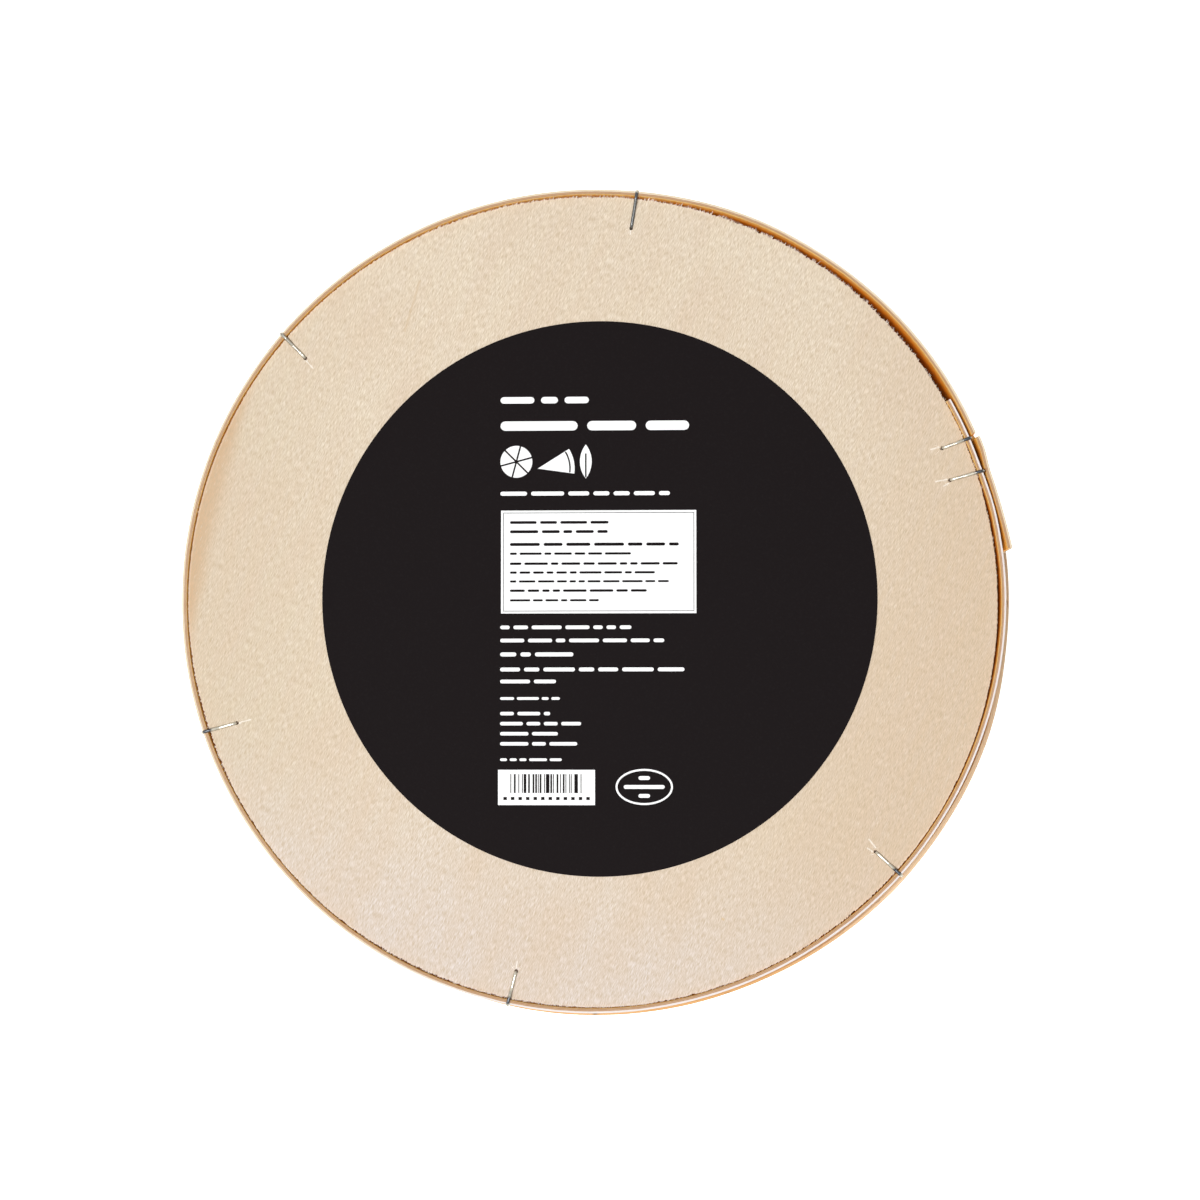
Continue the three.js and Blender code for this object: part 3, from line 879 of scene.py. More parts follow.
def torn_hole(frame_of_staple, staple, sizes):
    """The outline of the hole at a staple's inner leg, drawn out away from the rim"""
    centre = -staple.reach - (sizes.hole_length - sizes.hole_width) / 2
    points = []
    for i in range(HOLE_POINTS):
        turn = 2 * math.pi * i / HOLE_POINTS
        x = centre + math.cos(turn) * sizes.hole_length / 2
        y = math.sin(turn) * sizes.hole_width / 2
        rough = 1 + HOLE_ROUGHNESS * noise.noise(Vector((x, y, staple.angle * MM)) * HOLE_PITCH)
        point = frame_of_staple @ Vector((centre + (x - centre) * rough, y * rough, 0))
        points.append(point.to_2d())
    return points


def outside_holes(outline, holes):
    """Triangles that fill an outline round its holes, with the points that they use"""
    loops = [outline, *holes]
    points = [point for loop in loops for point in loop]
    faces = []
    first = 0
    for loop in loops:
        faces.append(list(range(first, first + len(loop))))
        first += len(loop)
    scaled = [point / MM for point in points]
    found = geometry.delaunay_2d_cdt(scaled, [], faces, FACES_INSIDE, CUT_TOLERANCE)
    kept = [face for face, sources in zip(found[2], found[5]) if sources == [0]]
    return [point * MM for point in found[0]], kept


def add_loop(shape, points, height):
    return [shape.verts.new((point.x, point.y, height)) for point in points]


def bridge(shape, lower, upper):
    """A band of faces between two loops of as many points, the upper one on the left of its way round"""
    count = len(lower)
    return [
        shape.faces.new((lower[i], lower[(i + 1) % count], upper[(i + 1) % count], upper[i]))
        for i in range(count)]


def board_mesh(name, radius, face, back, core, holes, sizes, finish):
    """A board whose face looks up or down, with torn holes in it and, under the label, a core behind it"""
    out = 1 if face > back else -1
    angles = rim_angles()
    ragged = [polar(turn, ragged_radius(radius, turn, sizes)).to_2d() for turn in angles]
    worn = [point * (1 - sizes.rim_chamfer / radius) for point in ragged]
    shape = bmesh.new()
    points, triangles = outside_holes(worn, holes)
    top = [shape.verts.new((point.x, point.y, face)) for point in points]
    for triangle in triangles:
        shape.faces.new([top[i] for i in triangle])
    levels = [(worn, face), (ragged, face - out * sizes.rim_chamfer), (ragged, back)]
    if core:
        inner = [polar(turn, core.x).to_2d() for turn in angles]
        levels += [(inner, back), (inner, core.y)]
    loops = [add_loop(shape, outline, height) for outline, height in levels]
    for upper, lower in zip(loops, loops[1:]):
        bridge(shape, lower, upper)
    shape.faces.new(reversed(loops[-1]))
    for hole in holes:
        mouth = add_loop(shape, hole, face)
        floor = add_loop(shape, hole, face - out * sizes.hole_depth)
        bridge(shape, mouth, floor)
        shape.faces.new(floor)
    bmesh.ops.remove_doubles(shape, verts=shape.verts, dist=SAME_PLACE)
    bmesh.ops.recalc_face_normals(shape, faces=shape.faces)
    return finished_mesh(shape, name, finish)


def finished_mesh(shape, name, finish):
    mesh = bpy.data.meshes.new(name)
    shape.to_mesh(mesh)
    shape.free()
    mesh.materials.append(finish)
    return mesh


class CHEESEBOX_OT_boards(bpy.types.Operator):
    """Makes the board under the label and the board of the underside"""
    bl_idname = "cheese_box.boards"
    bl_label = "Boards"

    def execute(self, context):
        sizes = context.scene.cheese_box_sizes
        finish = board_wood(context.scene.cheese_box_wood)
        top_holes = [torn_hole(staple_frame(TRAY_COURSE, s), s, sizes) for s in TRAY_STAPLES]
        under_holes = [torn_hole(staple_frame(LID_COURSE, s), s, sizes) for s in LID_STAPLES]
        core = Vector((BOARD_RADIUS - sizes.core_setback, TRAY_LOW))
        back = TOP_FACE - sizes.board_thickness
        top = board_mesh("top_board", BOARD_RADIUS, TOP_FACE, back, core, top_holes, sizes, finish)
        under = board_mesh("under_board", UNDER_BOARD_RADIUS, UNDER_FACE, UNDER_BOARD_BACK, None,
                           under_holes, sizes, finish)
        add_piece("top_board", top, ["tray_board"])
        add_piece("under_board", under, ["lid_board"])
        return {"FINISHED"}


# Hoops
PROFILE_CUTS = 5
EDGE_STEPS = 2

# The flap beside the slit: distances along the tray's strip from its free end
FLAP_END = 20 * MM
FLAP_PEAK = 27.5 * MM
SLIT_PLACE = 30 * MM

# Size of the blobs of noise that move a strip, and of those that wear its edge
WAVE_SIZE = (22 * MM, 22 * MM, 60 * MM)
WEAR_SIZE = (1.1 * MM, 1.1 * MM, 2 * MM)
WEAR_BAND = (0.99, 0.999)

# Cuts that take the wire, in a staple's own axes. The slit slants to one side on its way out.
CUT_START = 0.05 * MM
SLIT_END = LAP_STEP + CLEARANCE + 1.4 * MM
SLIT_HALF = 0.6 * MM
SLIT_HALF_OUTSIDE = 0.65 * MM
SLIT_SLANT = 0.6 * MM
GROOVE_END = 0.8 * MM
GROOVE_WIDTH = 1.0 * MM
NOTCH_WIDTH = 1.2 * MM
NOTCH_ROOM = 0.1 * MM


def strip_tree():
    """A strip on edge along a course, with worn edges and a free end that springs outwards"""
    tree = Shaper("bent_strip", {
        "Height": 20 * MM, "Thickness": VENEER, "Edge round": 0.1 * MM, "Rim wear": 0.1 * MM,
        "Waviness": 0.1 * MM, "Spring": 0.0, "Spring length": 20 * MM, "Spring from": 10 * MM,
        "Bulge": 0.0})
    size = tree.size
    course = tree.step("MeshToCurve", tree.base)
    course = tree.step("SetCurveNormal", course, {"mode": "Z_UP"})
    run = Num(tree, tree.add("GeometryNodeSplineParameter").outputs["Length"])
    whole = Num(tree, tree.add("GeometryNodeSplineLength").outputs["Length"])
    course = tree.stored(course, "run", run)
    course = tree.stored(course, "to_end", whole - run)
    section = tree.add(
        "GeometryNodeCurvePrimitiveQuadrilateral", None,
        {"Width": size["Thickness"], "Height": size["Height"]}).outputs[0]
    section = tree.step("SubdivideCurve", section, None, {"Cuts": PROFILE_CUTS})
    section = tree.step(
        "FilletCurve", section, {"mode": "POLY"},
        {"Count": EDGE_STEPS, "Radius": size["Edge round"], "Limit Radius": True})
    sideways, upwards, _ = tree.split(tree.position())
    section = tree.stored(section, "across", 0.5 - sideways / size["Thickness"])
    section = tree.stored(section, "up", size["Height"] / 2 - upwards)
    strip = tree.step("CurveToMesh", course, None, {"Profile Curve": section, "Fill Caps": True})
    strip = tree.step("FlipFaces", strip)
    strip = tree.step("SetPosition", strip, None, {"Offset": strip_offset(tree)})
    place = tree.joined(tree.read("run"), tree.read("across"), 0)
    return tree.end(tree.stored(strip, "strip", place, "FLOAT2", "CORNER"))


def strip_offset(tree):
    """How far each point of a strip moves: outwards at the free end, down where the rim is worn"""
    size = tree.size
    position = tree.position()
    outwards = tree.vectors("NORMALIZE", tree.vectors("MULTIPLY", position, (1, 1, 0)))
    up = tree.read("up")
    past = (up - size["Spring from"]) / (size["Height"] - size["Spring from"])
    to_end = tree.read("to_end")
    near_end = (1 - to_end / size["Spring length"]).clamped()
    flap = to_end.smooth(FLAP_END, FLAP_PEAK) * (1 - to_end.smooth(SLIT_PLACE, SLIT_PLACE + MM))
    spring = (size["Spring"] * near_end * near_end + size["Bulge"] * flap) * past.clamped()
    waves = (tree.cloud(WAVE_SIZE) - 0.5) * size["Waviness"] * 2
    moved = tree.add("ShaderNodeVectorMath", {"operation": "SCALE"}, {0: outwards, "Scale": spring + waves})
    at_rim = (up / size["Height"]).smooth(*WEAR_BAND)
    worn = tree.cloud(WEAR_SIZE, detail=3) * size["Rim wear"] * at_rim
    return tree.vectors("SUBTRACT", moved.outputs[0], tree.joined(0, 0, worn))


def course_line(course, low, high):
    """Points along the middle of a strip"""
    start = course[0].angle
    sweep = start - course[-1].angle
    steps = round(sweep / COURSE_STEP)
    turns = [start - sweep * i / steps for i in range(steps + 1)]
    return [polar(turn, radius_at(course, turn) + VENEER / 2, (low + high) / 2) for turn in turns]


def prism(shape, frame_of_staple, outline, low, high):
    """An upright closed cutter over an outline in a staple's own axes"""
    place = [frame_of_staple @ Vector((x, y, 0)) for x, y in outline]
    lower = add_loop(shape, place, low)
    upper = add_loop(shape, place, high)
    bridge(shape, lower, upper)
    shape.faces.new(upper)
    shape.faces.new(reversed(lower))


def box_outline(x_low, x_high, width):
    half = width / 2
    return [(x_low, -half), (x_high, -half), (x_high, half), (x_low, half)]


def tray_cutters(sizes):
    """The slit in the outer turn for one lapped staple, and the groove under it for the other"""
    shape = bmesh.new()
    low = RIM - STAPLE_DROP - sizes.wire_radius - CLEARANCE
    slit, groove = (staple_frame(TRAY_COURSE, s) for s in TRAY_STAPLES if s.lapped)
    wedge = [
        (CUT_START, -SLIT_HALF),
        (SLIT_END, SLIT_SLANT - SLIT_HALF_OUTSIDE),
        (SLIT_END, SLIT_SLANT + SLIT_HALF_OUTSIDE),
        (CUT_START, SLIT_HALF),
    ]
    prism(shape, slit, wedge, low, RIM + MM)
    prism(shape, groove, box_outline(CUT_START, GROOVE_END, GROOVE_WIDTH), low, RIM + MM)
    return finished_cutters(shape, "tray_cutters")


def lid_cutters(sizes):
    """Notches in the lid's lower edge that take the wire"""
    shape = bmesh.new()
    notch = box_outline(-VENEER - LAP_STEP - MM, MM, NOTCH_WIDTH)
    for staple in LID_STAPLES:
        prism(shape, staple_frame(LID_COURSE, staple), notch, -MM, 2 * sizes.wire_radius + NOTCH_ROOM)
    return finished_cutters(shape, "lid_cutters")


def finished_cutters(shape, name):
    bmesh.ops.recalc_face_normals(shape, faces=shape.faces)
    mesh = bpy.data.meshes.new(name)
    shape.to_mesh(mesh)
    shape.free()
    return mesh


class CHEESEBOX_OT_hoops(bpy.types.Operator):
    """Bends the tray's strip and the lid's strip round the boards"""
    bl_idname = "cheese_box.hoops"
    bl_label = "Hoops"

    def execute(self, context):
        sizes = context.scene.cheese_box_sizes
        finish = hoop_wood(context.scene.cheese_box_wood)
        tree = strip_tree()
        common = {
            "Thickness": VENEER, "Edge round": sizes.edge_round, "Rim wear": sizes.rim_wear,
            "Waviness": sizes.waviness, "Finish": finish}
        sprung = {
            "Height": RIM - TRAY_LOW, "Spring": sizes.spring, "Spring from": LID_RIM - TRAY_LOW,
            "Spring length": math.radians(SPRING_SWEEP) * (LID_HOOP_RADIUS + VENEER / 2),
            "Bulge": sizes.bulge}
        plain = {"Height": LID_RIM, "Spring": 0.0, "Bulge": 0.0}
        tray_line = line_mesh("tray_course", [course_line(TRAY_COURSE, TRAY_LOW, RIM)])
        lid_line = line_mesh("lid_course", [course_line(LID_COURSE, 0, LID_RIM)])
        tray = grown("tray_strip", tray_line, tree, {**common, **sprung})
        lid = grown("lid_strip", lid_line, tree, {**common, **plain})
        add_piece("tray_strip", carved(tray, tray_cutters(sizes), "tray_strip"), ["tray_hoop"])
        add_piece("lid_strip", carved(lid, lid_cutters(sizes), "lid_strip"), ["lid_hoop"])
        return {"FINISHED"}


# Staples: how far a leg's end stays short of its hole's depth, how far the lid's wire stays above the
# floor, and how far in from the strip's outer face the tray's wire has climbed to the rim
WIRE_SIDES = 14
BEND_STEPS = 5
LEG_SHORT = 0.2 * MM
WIRE_LIFT = 0.05 * MM
CLIMB = 1.5 * VENEER


def wire_tree():
    """Round wire along lines whose corners are bent"""
    tree = Shaper("bent_wire", {"Wire radius": 0.4 * MM, "Bend": MM})
    line = tree.step("MeshToCurve", tree.base)
    line = tree.step(
        "FilletCurve", line, {"mode": "POLY"},
        {"Count": BEND_STEPS, "Radius": tree.size["Bend"], "Limit Radius": True})
    section = tree.add(
        "GeometryNodeCurvePrimitiveCircle", None,
        {"Resolution": WIRE_SIDES, "Radius": tree.size["Wire radius"]}).outputs[0]
    wire = tree.step("CurveToMesh", line, None, {"Profile Curve": section, "Fill Caps": True})
    wire = tree.step("SetShadeSmooth", wire)
    return tree.end(wire)


def tray_wire(staple, sizes):
    """Corners of a staple that lies on the board and climbs over the rim"""
    on_board = TOP_FACE + sizes.wire_radius
    on_rim = RIM + sizes.wire_radius
    outside = sizes.wire_seat
    corners = [
        (-staple.reach, TOP_FACE - LEG_IN_BOARD + LEG_SHORT),
        (-staple.reach, on_board),
        (-staple.reach / 2, on_board),
        (-CLIMB, on_rim),
        (outside, on_rim),
        (outside, RIM - STAPLE_DROP),
        (-LEG_IN_VENEER, RIM - STAPLE_DROP),
    ]
    return placed_line(staple_frame(TRAY_COURSE, staple), corners)


def lid_wire(staple, sizes):
    """Corners of a staple that stays above the floor, in a notch of the lid's edge"""
    level = sizes.wire_radius + WIRE_LIFT
    outside = sizes.wire_seat
    corners = [
        (-staple.reach, UNDER_FACE + LEG_IN_BOARD - LEG_SHORT),
        (-staple.reach, level),
        (outside, level),
        (outside, STAPLE_DROP),
        (-LEG_IN_VENEER, STAPLE_DROP),
    ]
    return placed_line(staple_frame(LID_COURSE, staple), corners)


def placed_line(frame_of_staple, corners):
    return [frame_of_staple @ Vector((x, 0, z)) for x, z in corners]


class CHEESEBOX_OT_staples(bpy.types.Operator):
    """Bends the wire staples over both rims"""
    bl_idname = "cheese_box.staples"
    bl_label = "Staples"

    def execute(self, context):
        sizes = context.scene.cheese_box_sizes
        finish = zinc_wire(context.scene.cheese_box_label)
        tree = wire_tree()
        values = {"Wire radius": sizes.wire_radius, "Bend": sizes.wire_bend, "Finish": finish}
        for part, staples, path in (("tray", TRAY_STAPLES, tray_wire), ("lid", LID_STAPLES, lid_wire)):
            lines = line_mesh(part + "_lines", [path(staple, sizes) for staple in staples])
            mesh = grown(part + "_staples", lines, tree, values)
            nodes = [f"{part}_staple_{i + 1}" for i in range(STAPLE_COUNT)]
            add_piece(part + "_staples", mesh, nodes)
        return {"FINISHED"}


# Torn fibres
FIBRE_SEED = 11
FIBRE_SIDES = 4
RIM_FIBRES = 1300
HOLE_FIBRES = 6
FIBRE_FLATNESS = 0.6
FIBRE_TIP = 0.12
FIBRE_ROOT = 0.5

# Ranges that the rim's fibres are drawn from, and the chance of one where the rim runs along the grain
STRAY_CHANCE = 0.06
RIM_FIBRE_DEPTH = (0.02 * MM, 0.35 * MM)
RIM_FIBRE_SWING = (-16, 16)
RIM_FIBRE_PITCH = (-12, 10)
RIM_FIBRE_LENGTH = (0.3 * MM, 0.85 * MM)
RIM_FIBRE_WIDTH = (0.07 * MM, 0.17 * MM)

# Ranges that the fibres round a hole are drawn from
HOLE_FIBRE_SPREAD = 50
HOLE_FIBRE_FAN = 0.6
HOLE_FIBRE_SHIFT = 0.3 * MM
HOLE_FIBRE_START = (0.6 * MM, 1.1 * MM)
HOLE_FIBRE_LIFT = (0.0, 0.05 * MM)
HOLE_FIBRE_SWING = (-14, 14)
HOLE_FIBRE_PITCH = (1, 9)
HOLE_FIBRE_LENGTH = (0.5 * MM, 1.5 * MM)
HOLE_FIBRE_WIDTH = (0.07 * MM, 0.14 * MM)


def fibre_tree():
    """A tapered sliver on each point, turned and stretched as the point says"""
    tree = Shaper("torn_fibres", {"Seed": FIBRE_SEED})
    sliver = tree.add(
        "GeometryNodeMeshCone", None,
        {"Vertices": FIBRE_SIDES, "Radius Top": FIBRE_TIP, "Radius Bottom": FIBRE_ROOT, "Depth": 1.0},
    ).outputs["Mesh"]
    turn = tree.add("FunctionNodeEulerToRotation", None, {"Euler": tree.read("turn", "FLOAT_VECTOR")})
    cloud = tree.step("InstanceOnPoints", tree.base, None, {
        "Instance": sliver, "Rotation": turn.outputs[0], "Scale": tree.read("stretch", "FLOAT_VECTOR")})
    chance = tree.add(
        "FunctionNodeRandomValue", {"data_type": "FLOAT"}, {"Seed": tree.size["Seed"]}).outputs[1]
    cloud = tree.stored(cloud, "tone", chance, domain="INSTANCE")
    return tree.end(cloud)


Fibre = namedtuple("Fibre", "place heading pitch length width")


def rim_fibres(rng, radius, height, side, sizes):
    """Fibres that stick out of a board's rim where it crosses the grain"""
    fibres = []
    while len(fibres) < RIM_FIBRES:
        turn = rng.uniform(0, FULL_TURN)
        if rng.random() > across_grain(turn) ** 2 + STRAY_CHANCE:
            continue
        edge = ragged_radius(radius, turn, sizes) - sizes.rim_chamfer
        depth = rng.uniform(*RIM_FIBRE_DEPTH)
        facing = math.cos(math.radians(turn - GRAIN_END)) > 0
        heading = (GRAIN_END if facing else GRAIN_END + FULL_TURN / 2) + rng.uniform(*RIM_FIBRE_SWING)
        pitch = rng.uniform(*RIM_FIBRE_PITCH)
        place = polar(turn, edge, height - side * depth)
        fibres.append(Fibre(
            place, heading, pitch, rng.uniform(*RIM_FIBRE_LENGTH), rng.uniform(*RIM_FIBRE_WIDTH)))
    return fibres


def hole_fibres(rng, frame_of_staple, staple, height, side):
    """Lifted fibres round the hole of a staple's leg, most of them on the side away from the rim"""
    fibres = []
    inwards = staple.angle + staple.lean + FULL_TURN / 2
    for _ in range(HOLE_FIBRES):
        spread = rng.gauss(0, HOLE_FIBRE_SPREAD)
        away = polar(FULL_TURN / 2 + spread, rng.uniform(*HOLE_FIBRE_START))
        place = frame_of_staple @ (Vector((-staple.reach - HOLE_FIBRE_SHIFT, 0, 0)) + away)
        place.z = height + side * rng.uniform(*HOLE_FIBRE_LIFT)
        heading = inwards + spread * HOLE_FIBRE_FAN + rng.uniform(*HOLE_FIBRE_SWING)
        pitch = rng.uniform(*HOLE_FIBRE_PITCH)
        fibres.append(Fibre(
            place, heading, pitch, rng.uniform(*HOLE_FIBRE_LENGTH), rng.uniform(*HOLE_FIBRE_WIDTH)))
    return fibres


# Long slivers that bridge the gap between board and strip: the angle, heading and length of each
GAP_SLIVERS = [(77.1, 64, 1.5), (167.2, 196, 1.3), (56.0, 40, 1.4), (43.0, 70, 1.2), (281.0, 262, 1.1)]
SLIVER_SETBACK = 0.3 * MM
SLIVER_DEPTH = 0.05 * MM
SLIVER_WIDTH = 0.16 * MM
SLIVER_PITCH = 4


def gap_slivers(sizes):
    slivers = []
    for turn, heading, size in GAP_SLIVERS:
        root = ragged_radius(BOARD_RADIUS, turn, sizes) - SLIVER_SETBACK
        place = polar(turn, root, TOP_FACE - SLIVER_DEPTH)
        slivers.append(Fibre(place, heading, SLIVER_PITCH, size * MM, SLIVER_WIDTH))
    return slivers


def fibre_points(name, fibres, side):
    """A mesh of points that carry each fibre's turn and stretch"""
    mesh = bpy.data.meshes.new(name)
    mesh.from_pydata([fibre.place for fibre in fibres], [], [])
    turns = mesh.attributes.new("turn", "FLOAT_VECTOR", "POINT")
    stretches = mesh.attributes.new("stretch", "FLOAT_VECTOR", "POINT")
    for i, fibre in enumerate(fibres):
        lying = math.radians(90 - side * fibre.pitch)
        turns.data[i].vector = (0, lying, math.radians(fibre.heading))
        stretches.data[i].vector = (fibre.width * FIBRE_FLATNESS, fibre.width, fibre.length)
    return mesh


class CHEESEBOX_OT_fibres(bpy.types.Operator):
    """Scatters torn fibres along the boards' rims and round the staples' holes"""
    bl_idname = "cheese_box.fibres"
    bl_label = "Torn fibres"

    def execute(self, context):
        sizes = context.scene.cheese_box_sizes
        finish = fibre_wood(context.scene.cheese_box_wood)
        tree = fibre_tree()
        rng = random.Random(FIBRE_SEED)
        boards = [
            ("top_fibres", BOARD_RADIUS, TOP_FACE, 1, TRAY_COURSE, TRAY_STAPLES, gap_slivers(sizes)),
            ("under_fibres", UNDER_BOARD_RADIUS, UNDER_FACE, -1, LID_COURSE, LID_STAPLES, []),
        ]
        for name, radius, face, side, course, staples, fibres in boards:
            fibres = fibres + rim_fibres(rng, radius, face, side, sizes)
            for staple in staples:
                fibres += hole_fibres(rng, staple_frame(course, staple), staple, face, side)
            points = fibre_points(name + "_points", fibres, side)
            mesh = grown(name, points, tree, {"Seed": float(FIBRE_SEED), "Finish": finish})
            add_piece(name, mesh)
        return {"FINISHED"}


# The label's print, in millimetres from the label's middle
LABEL_POINTS = 360
PRINT_SEED = 23
WHITE = 1.0
BLACK = 0.0
LEFT_MARGIN = -25.5

# The bars of a line of print, as multiples of the line's size: their lengths, the gap between two, the
# shortest that is drawn, the shortest rest of a line that takes one more, and their heights
DASH_LENGTHS = (1.3, 2.0, 2.6, 3.3, 4.1)
DASH_GAP = 0.5
SHORTEST_DASH = 0.4
SHORTEST_REST = 1.2
DASH_HEIGHT = 0.5
PANEL_DASH_HEIGHT = 0.42

Line = namedtuple("Line", "height width size ink")

TITLE_LINES = [
    Line(51.4, 23.0, 3.4, WHITE),
    Line(44.7, 49.0, 4.9, WHITE),
    Line(27.1, 44.0, 2.1, WHITE),
]

SMALL_LINES = [
    Line(-7.6, 34.0, 1.9, WHITE),
    Line(-11.0, 42.5, 1.9, WHITE),
    Line(-14.6, 19.0, 2.1, WHITE),
    Line(-18.5, 47.7, 2.0, WHITE),
    Line(-21.6, 14.5, 1.9, WHITE),
    Line(-26.0, 15.5, 1.4, WHITE),
    Line(-29.9, 13.0, 1.8, WHITE),
    Line(-32.5, 21.0, 1.8, WHITE),
    Line(-35.1, 15.0, 1.8, WHITE),
    Line(-37.7, 20.0, 1.8, WHITE),
    Line(-41.8, 16.0, 1.4, WHITE),
]

PANEL = {"left": -25.3, "right": 25.3, "top": 22.7, "bottom": -4.0}
PANEL_BORDER = 0.55
BORDER_WIDTH = 0.16
PANEL_INDENT = 2.3

PANEL_LINES = [
    Line(19.6, 25.6, 1.7, BLACK),
    Line(17.2, 25.4, 1.8, BLACK),
    Line(13.9, 43.8, 1.9, BLACK),
    Line(11.5, 31.4, 1.4, BLACK),
    Line(8.9, 43.5, 1.5, BLACK),
    Line(6.6, 37.6, 1.4, BLACK),
    Line(4.3, 41.2, 1.3, BLACK),
    Line(1.9, 35.5, 1.5, BLACK),
    Line(-0.6, 23.1, 1.3, BLACK),
]

# The signs
SIGN_MIDDLE = 35.4
WHEEL_RADIUS = 4.15
WHEEL_CUTS = (15, 75, 135)
CUT_HALF = 0.22
CUT_OVERRUN = 0.2
WEDGE_TIP = Vector((-15.8, 33.6))
WEDGE_LENGTH = 9.6
WEDGE_TURNS = (-8, 32, 5)
RIND_LINE = (8.2, 8.6)
RIND_TURNS = (-7, 31, 2)
LEAF_MIDDLE = -3.3
LEAF_ARC = 7.138
LEAF_OFFSET = 5.6
LEAF_STEPS = 6
VEIN_HALF = 0.2

# The block of upright bars, over a row of small marks
BLOCK = {"left": -26.0, "right": -0.9, "top": -44.4, "bottom": -53.5}
BAR_MARGIN = 3.2
BAR_FOOT = 3.1
BAR_HEAD = 1.1
BAR_MODULE = 0.23
BAR_WIDTHS = (1, 1, 2, 2, 3, 4)
BAR_GAPS = (1, 1, 2, 3)
MARK_COUNT = 12
MARK_START = 1.4
MARK_PITCH = 1.95
MARK_WIDTH = 0.9
MARK_FOOT = 1.3
MARK_HEAD = 2.1

# The oval ring, with the height and width of each bar in it
OVAL = {"x": 11.8, "y": -48.8, "width": 14.8, "height": 9.3, "line": 0.5}
OVAL_BARS = ((2.3, 3.0), (0.0, 10.6), (-2.3, 3.0))
OVAL_BAR_SIZE = 1.0

SAME_POINT = 1e-4
PRINT_TOLERANCE = 1e-5


class Print:
    """Flat shapes painted over each other, later ones on top"""

    def __init__(self):
        self.outlines = []
        self.inks = []

    def paint(self, outline, ink):
        """Adds an outline, which has to run counter-clockwise for the triangulation"""
        points = [Vector(point) for point in outline]
        if signed_area(points) < 0:
            points.reverse()
        self.outlines.append(points)
        self.inks.append(ink)

    def rectangle(self, left, right, bottom, top, ink):
        self.paint([(left, bottom), (right, bottom), (right, top), (left, top)], ink)

    def oval(self, x, y, width, height, ink, count=48):
        turns = [2 * math.pi * i / count for i in range(count)]
        self.paint([(x + width / 2 * math.cos(t), y + height / 2 * math.sin(t)) for t in turns], ink)

    def bar(self, left, right, middle, height, ink, corner_steps=3):
        """A bar with round ends"""
        radius = min(height, right - left) / 2
        west, east = left + radius, right - radius
        south, north = middle - height / 2 + radius, middle + height / 2 - radius
        points = []
        for quarter, (x, y) in enumerate(((east, north), (west, north), (west, south), (east, south))):
            for i in range(corner_steps + 1):
                turn = math.pi / 2 * (quarter + i / corner_steps)
                points.append((x + radius * math.cos(turn), y + radius * math.sin(turn)))
        self.paint(without_repeats(points), ink)

    def dashes(self, rng, line, left, height=DASH_HEIGHT):
        """A line of print as a row of bars of chance lengths"""
        start = left
        end = left + line.width
        while start < end - SHORTEST_DASH * line.size:
            stop = min(end, start + line.size * rng.choice(DASH_LENGTHS))
            if end - stop < SHORTEST_REST * line.size:
                stop = end
            self.bar(start, stop, line.height, height * line.size, line.ink)
            start = stop + DASH_GAP * line.size


def signed_area(points):
    return sum(before.cross(point) for before, point in zip(points[-1:] + points[:-1], points)) / 2


def without_repeats(points):
    kept = []
    for point in points:
        if not kept or (Vector(point) - Vector(kept[-1])).length > SAME_POINT:
            kept.append(point)
    if (Vector(kept[0]) - Vector(kept[-1])).length <= SAME_POINT:
        kept.pop()
    return kept


def arc(centre, radius, first, last, step):
    """Points round a centre, at every step of so many degrees"""
    return [centre + polar(turn, radius).to_2d() for turn in range(first, last + 1, step)]


def paint_wheel(sheet):
    """A wheel in six portions"""
    centre = Vector((LEFT_MARGIN + WHEEL_RADIUS, SIGN_MIDDLE))
    sheet.oval(centre.x, centre.y, 2 * WHEEL_RADIUS, 2 * WHEEL_RADIUS, WHITE)
    for turn in WHEEL_CUTS:
        way = polar(turn, WHEEL_RADIUS + CUT_OVERRUN).to_2d()
        side = polar(turn + 90, CUT_HALF).to_2d()
        corners = [centre - way - side, centre + way - side, centre + way + side, centre - way + side]
        sheet.paint(corners, BLACK)


def paint_wedge(sheet):
    """A wedge with a thin line inside its rind"""
    sheet.paint([WEDGE_TIP, *arc(WEDGE_TIP, WEDGE_LENGTH, *WEDGE_TURNS)], WHITE)
    inner, outer = (arc(WEDGE_TIP, radius, *RIND_TURNS) for radius in RIND_LINE)
    sheet.paint([*inner, *reversed(outer)], BLACK)


def paint_leaf(sheet):
    """A pointed leaf between two arcs, with a vein"""
    half = math.acos(LEAF_OFFSET / LEAF_ARC)
    turns = [half * (i / LEAF_STEPS - 1) for i in range(2 * LEAF_STEPS + 1)]
    bows = [(LEAF_ARC * math.cos(turn) - LEAF_OFFSET, LEAF_ARC * math.sin(turn)) for turn in turns]
    right = [(LEAF_MIDDLE + x, SIGN_MIDDLE + y) for x, y in bows]
    left = [(LEAF_MIDDLE - x, SIGN_MIDDLE - y) for x, y in bows]
    sheet.paint([*right, *left[1:-1]], WHITE)
    foot, head = SIGN_MIDDLE - WHEEL_RADIUS, SIGN_MIDDLE + WHEEL_RADIUS / 2
    sheet.rectangle(LEAF_MIDDLE - VEIN_HALF, LEAF_MIDDLE + VEIN_HALF, foot, head, BLACK)


def paint_panel(sheet, rng):
    """The white panel with its thin border and rows of small print"""
    left, right, bottom, top = (PANEL[side] for side in ("left", "right", "bottom", "top"))
    for inset, ink in ((0, WHITE), (PANEL_BORDER, BLACK), (PANEL_BORDER + BORDER_WIDTH, WHITE)):
        sheet.rectangle(left + inset, right - inset, bottom + inset, top - inset, ink)
    for line in PANEL_LINES:
        sheet.dashes(rng, line, left + PANEL_INDENT, PANEL_DASH_HEIGHT)


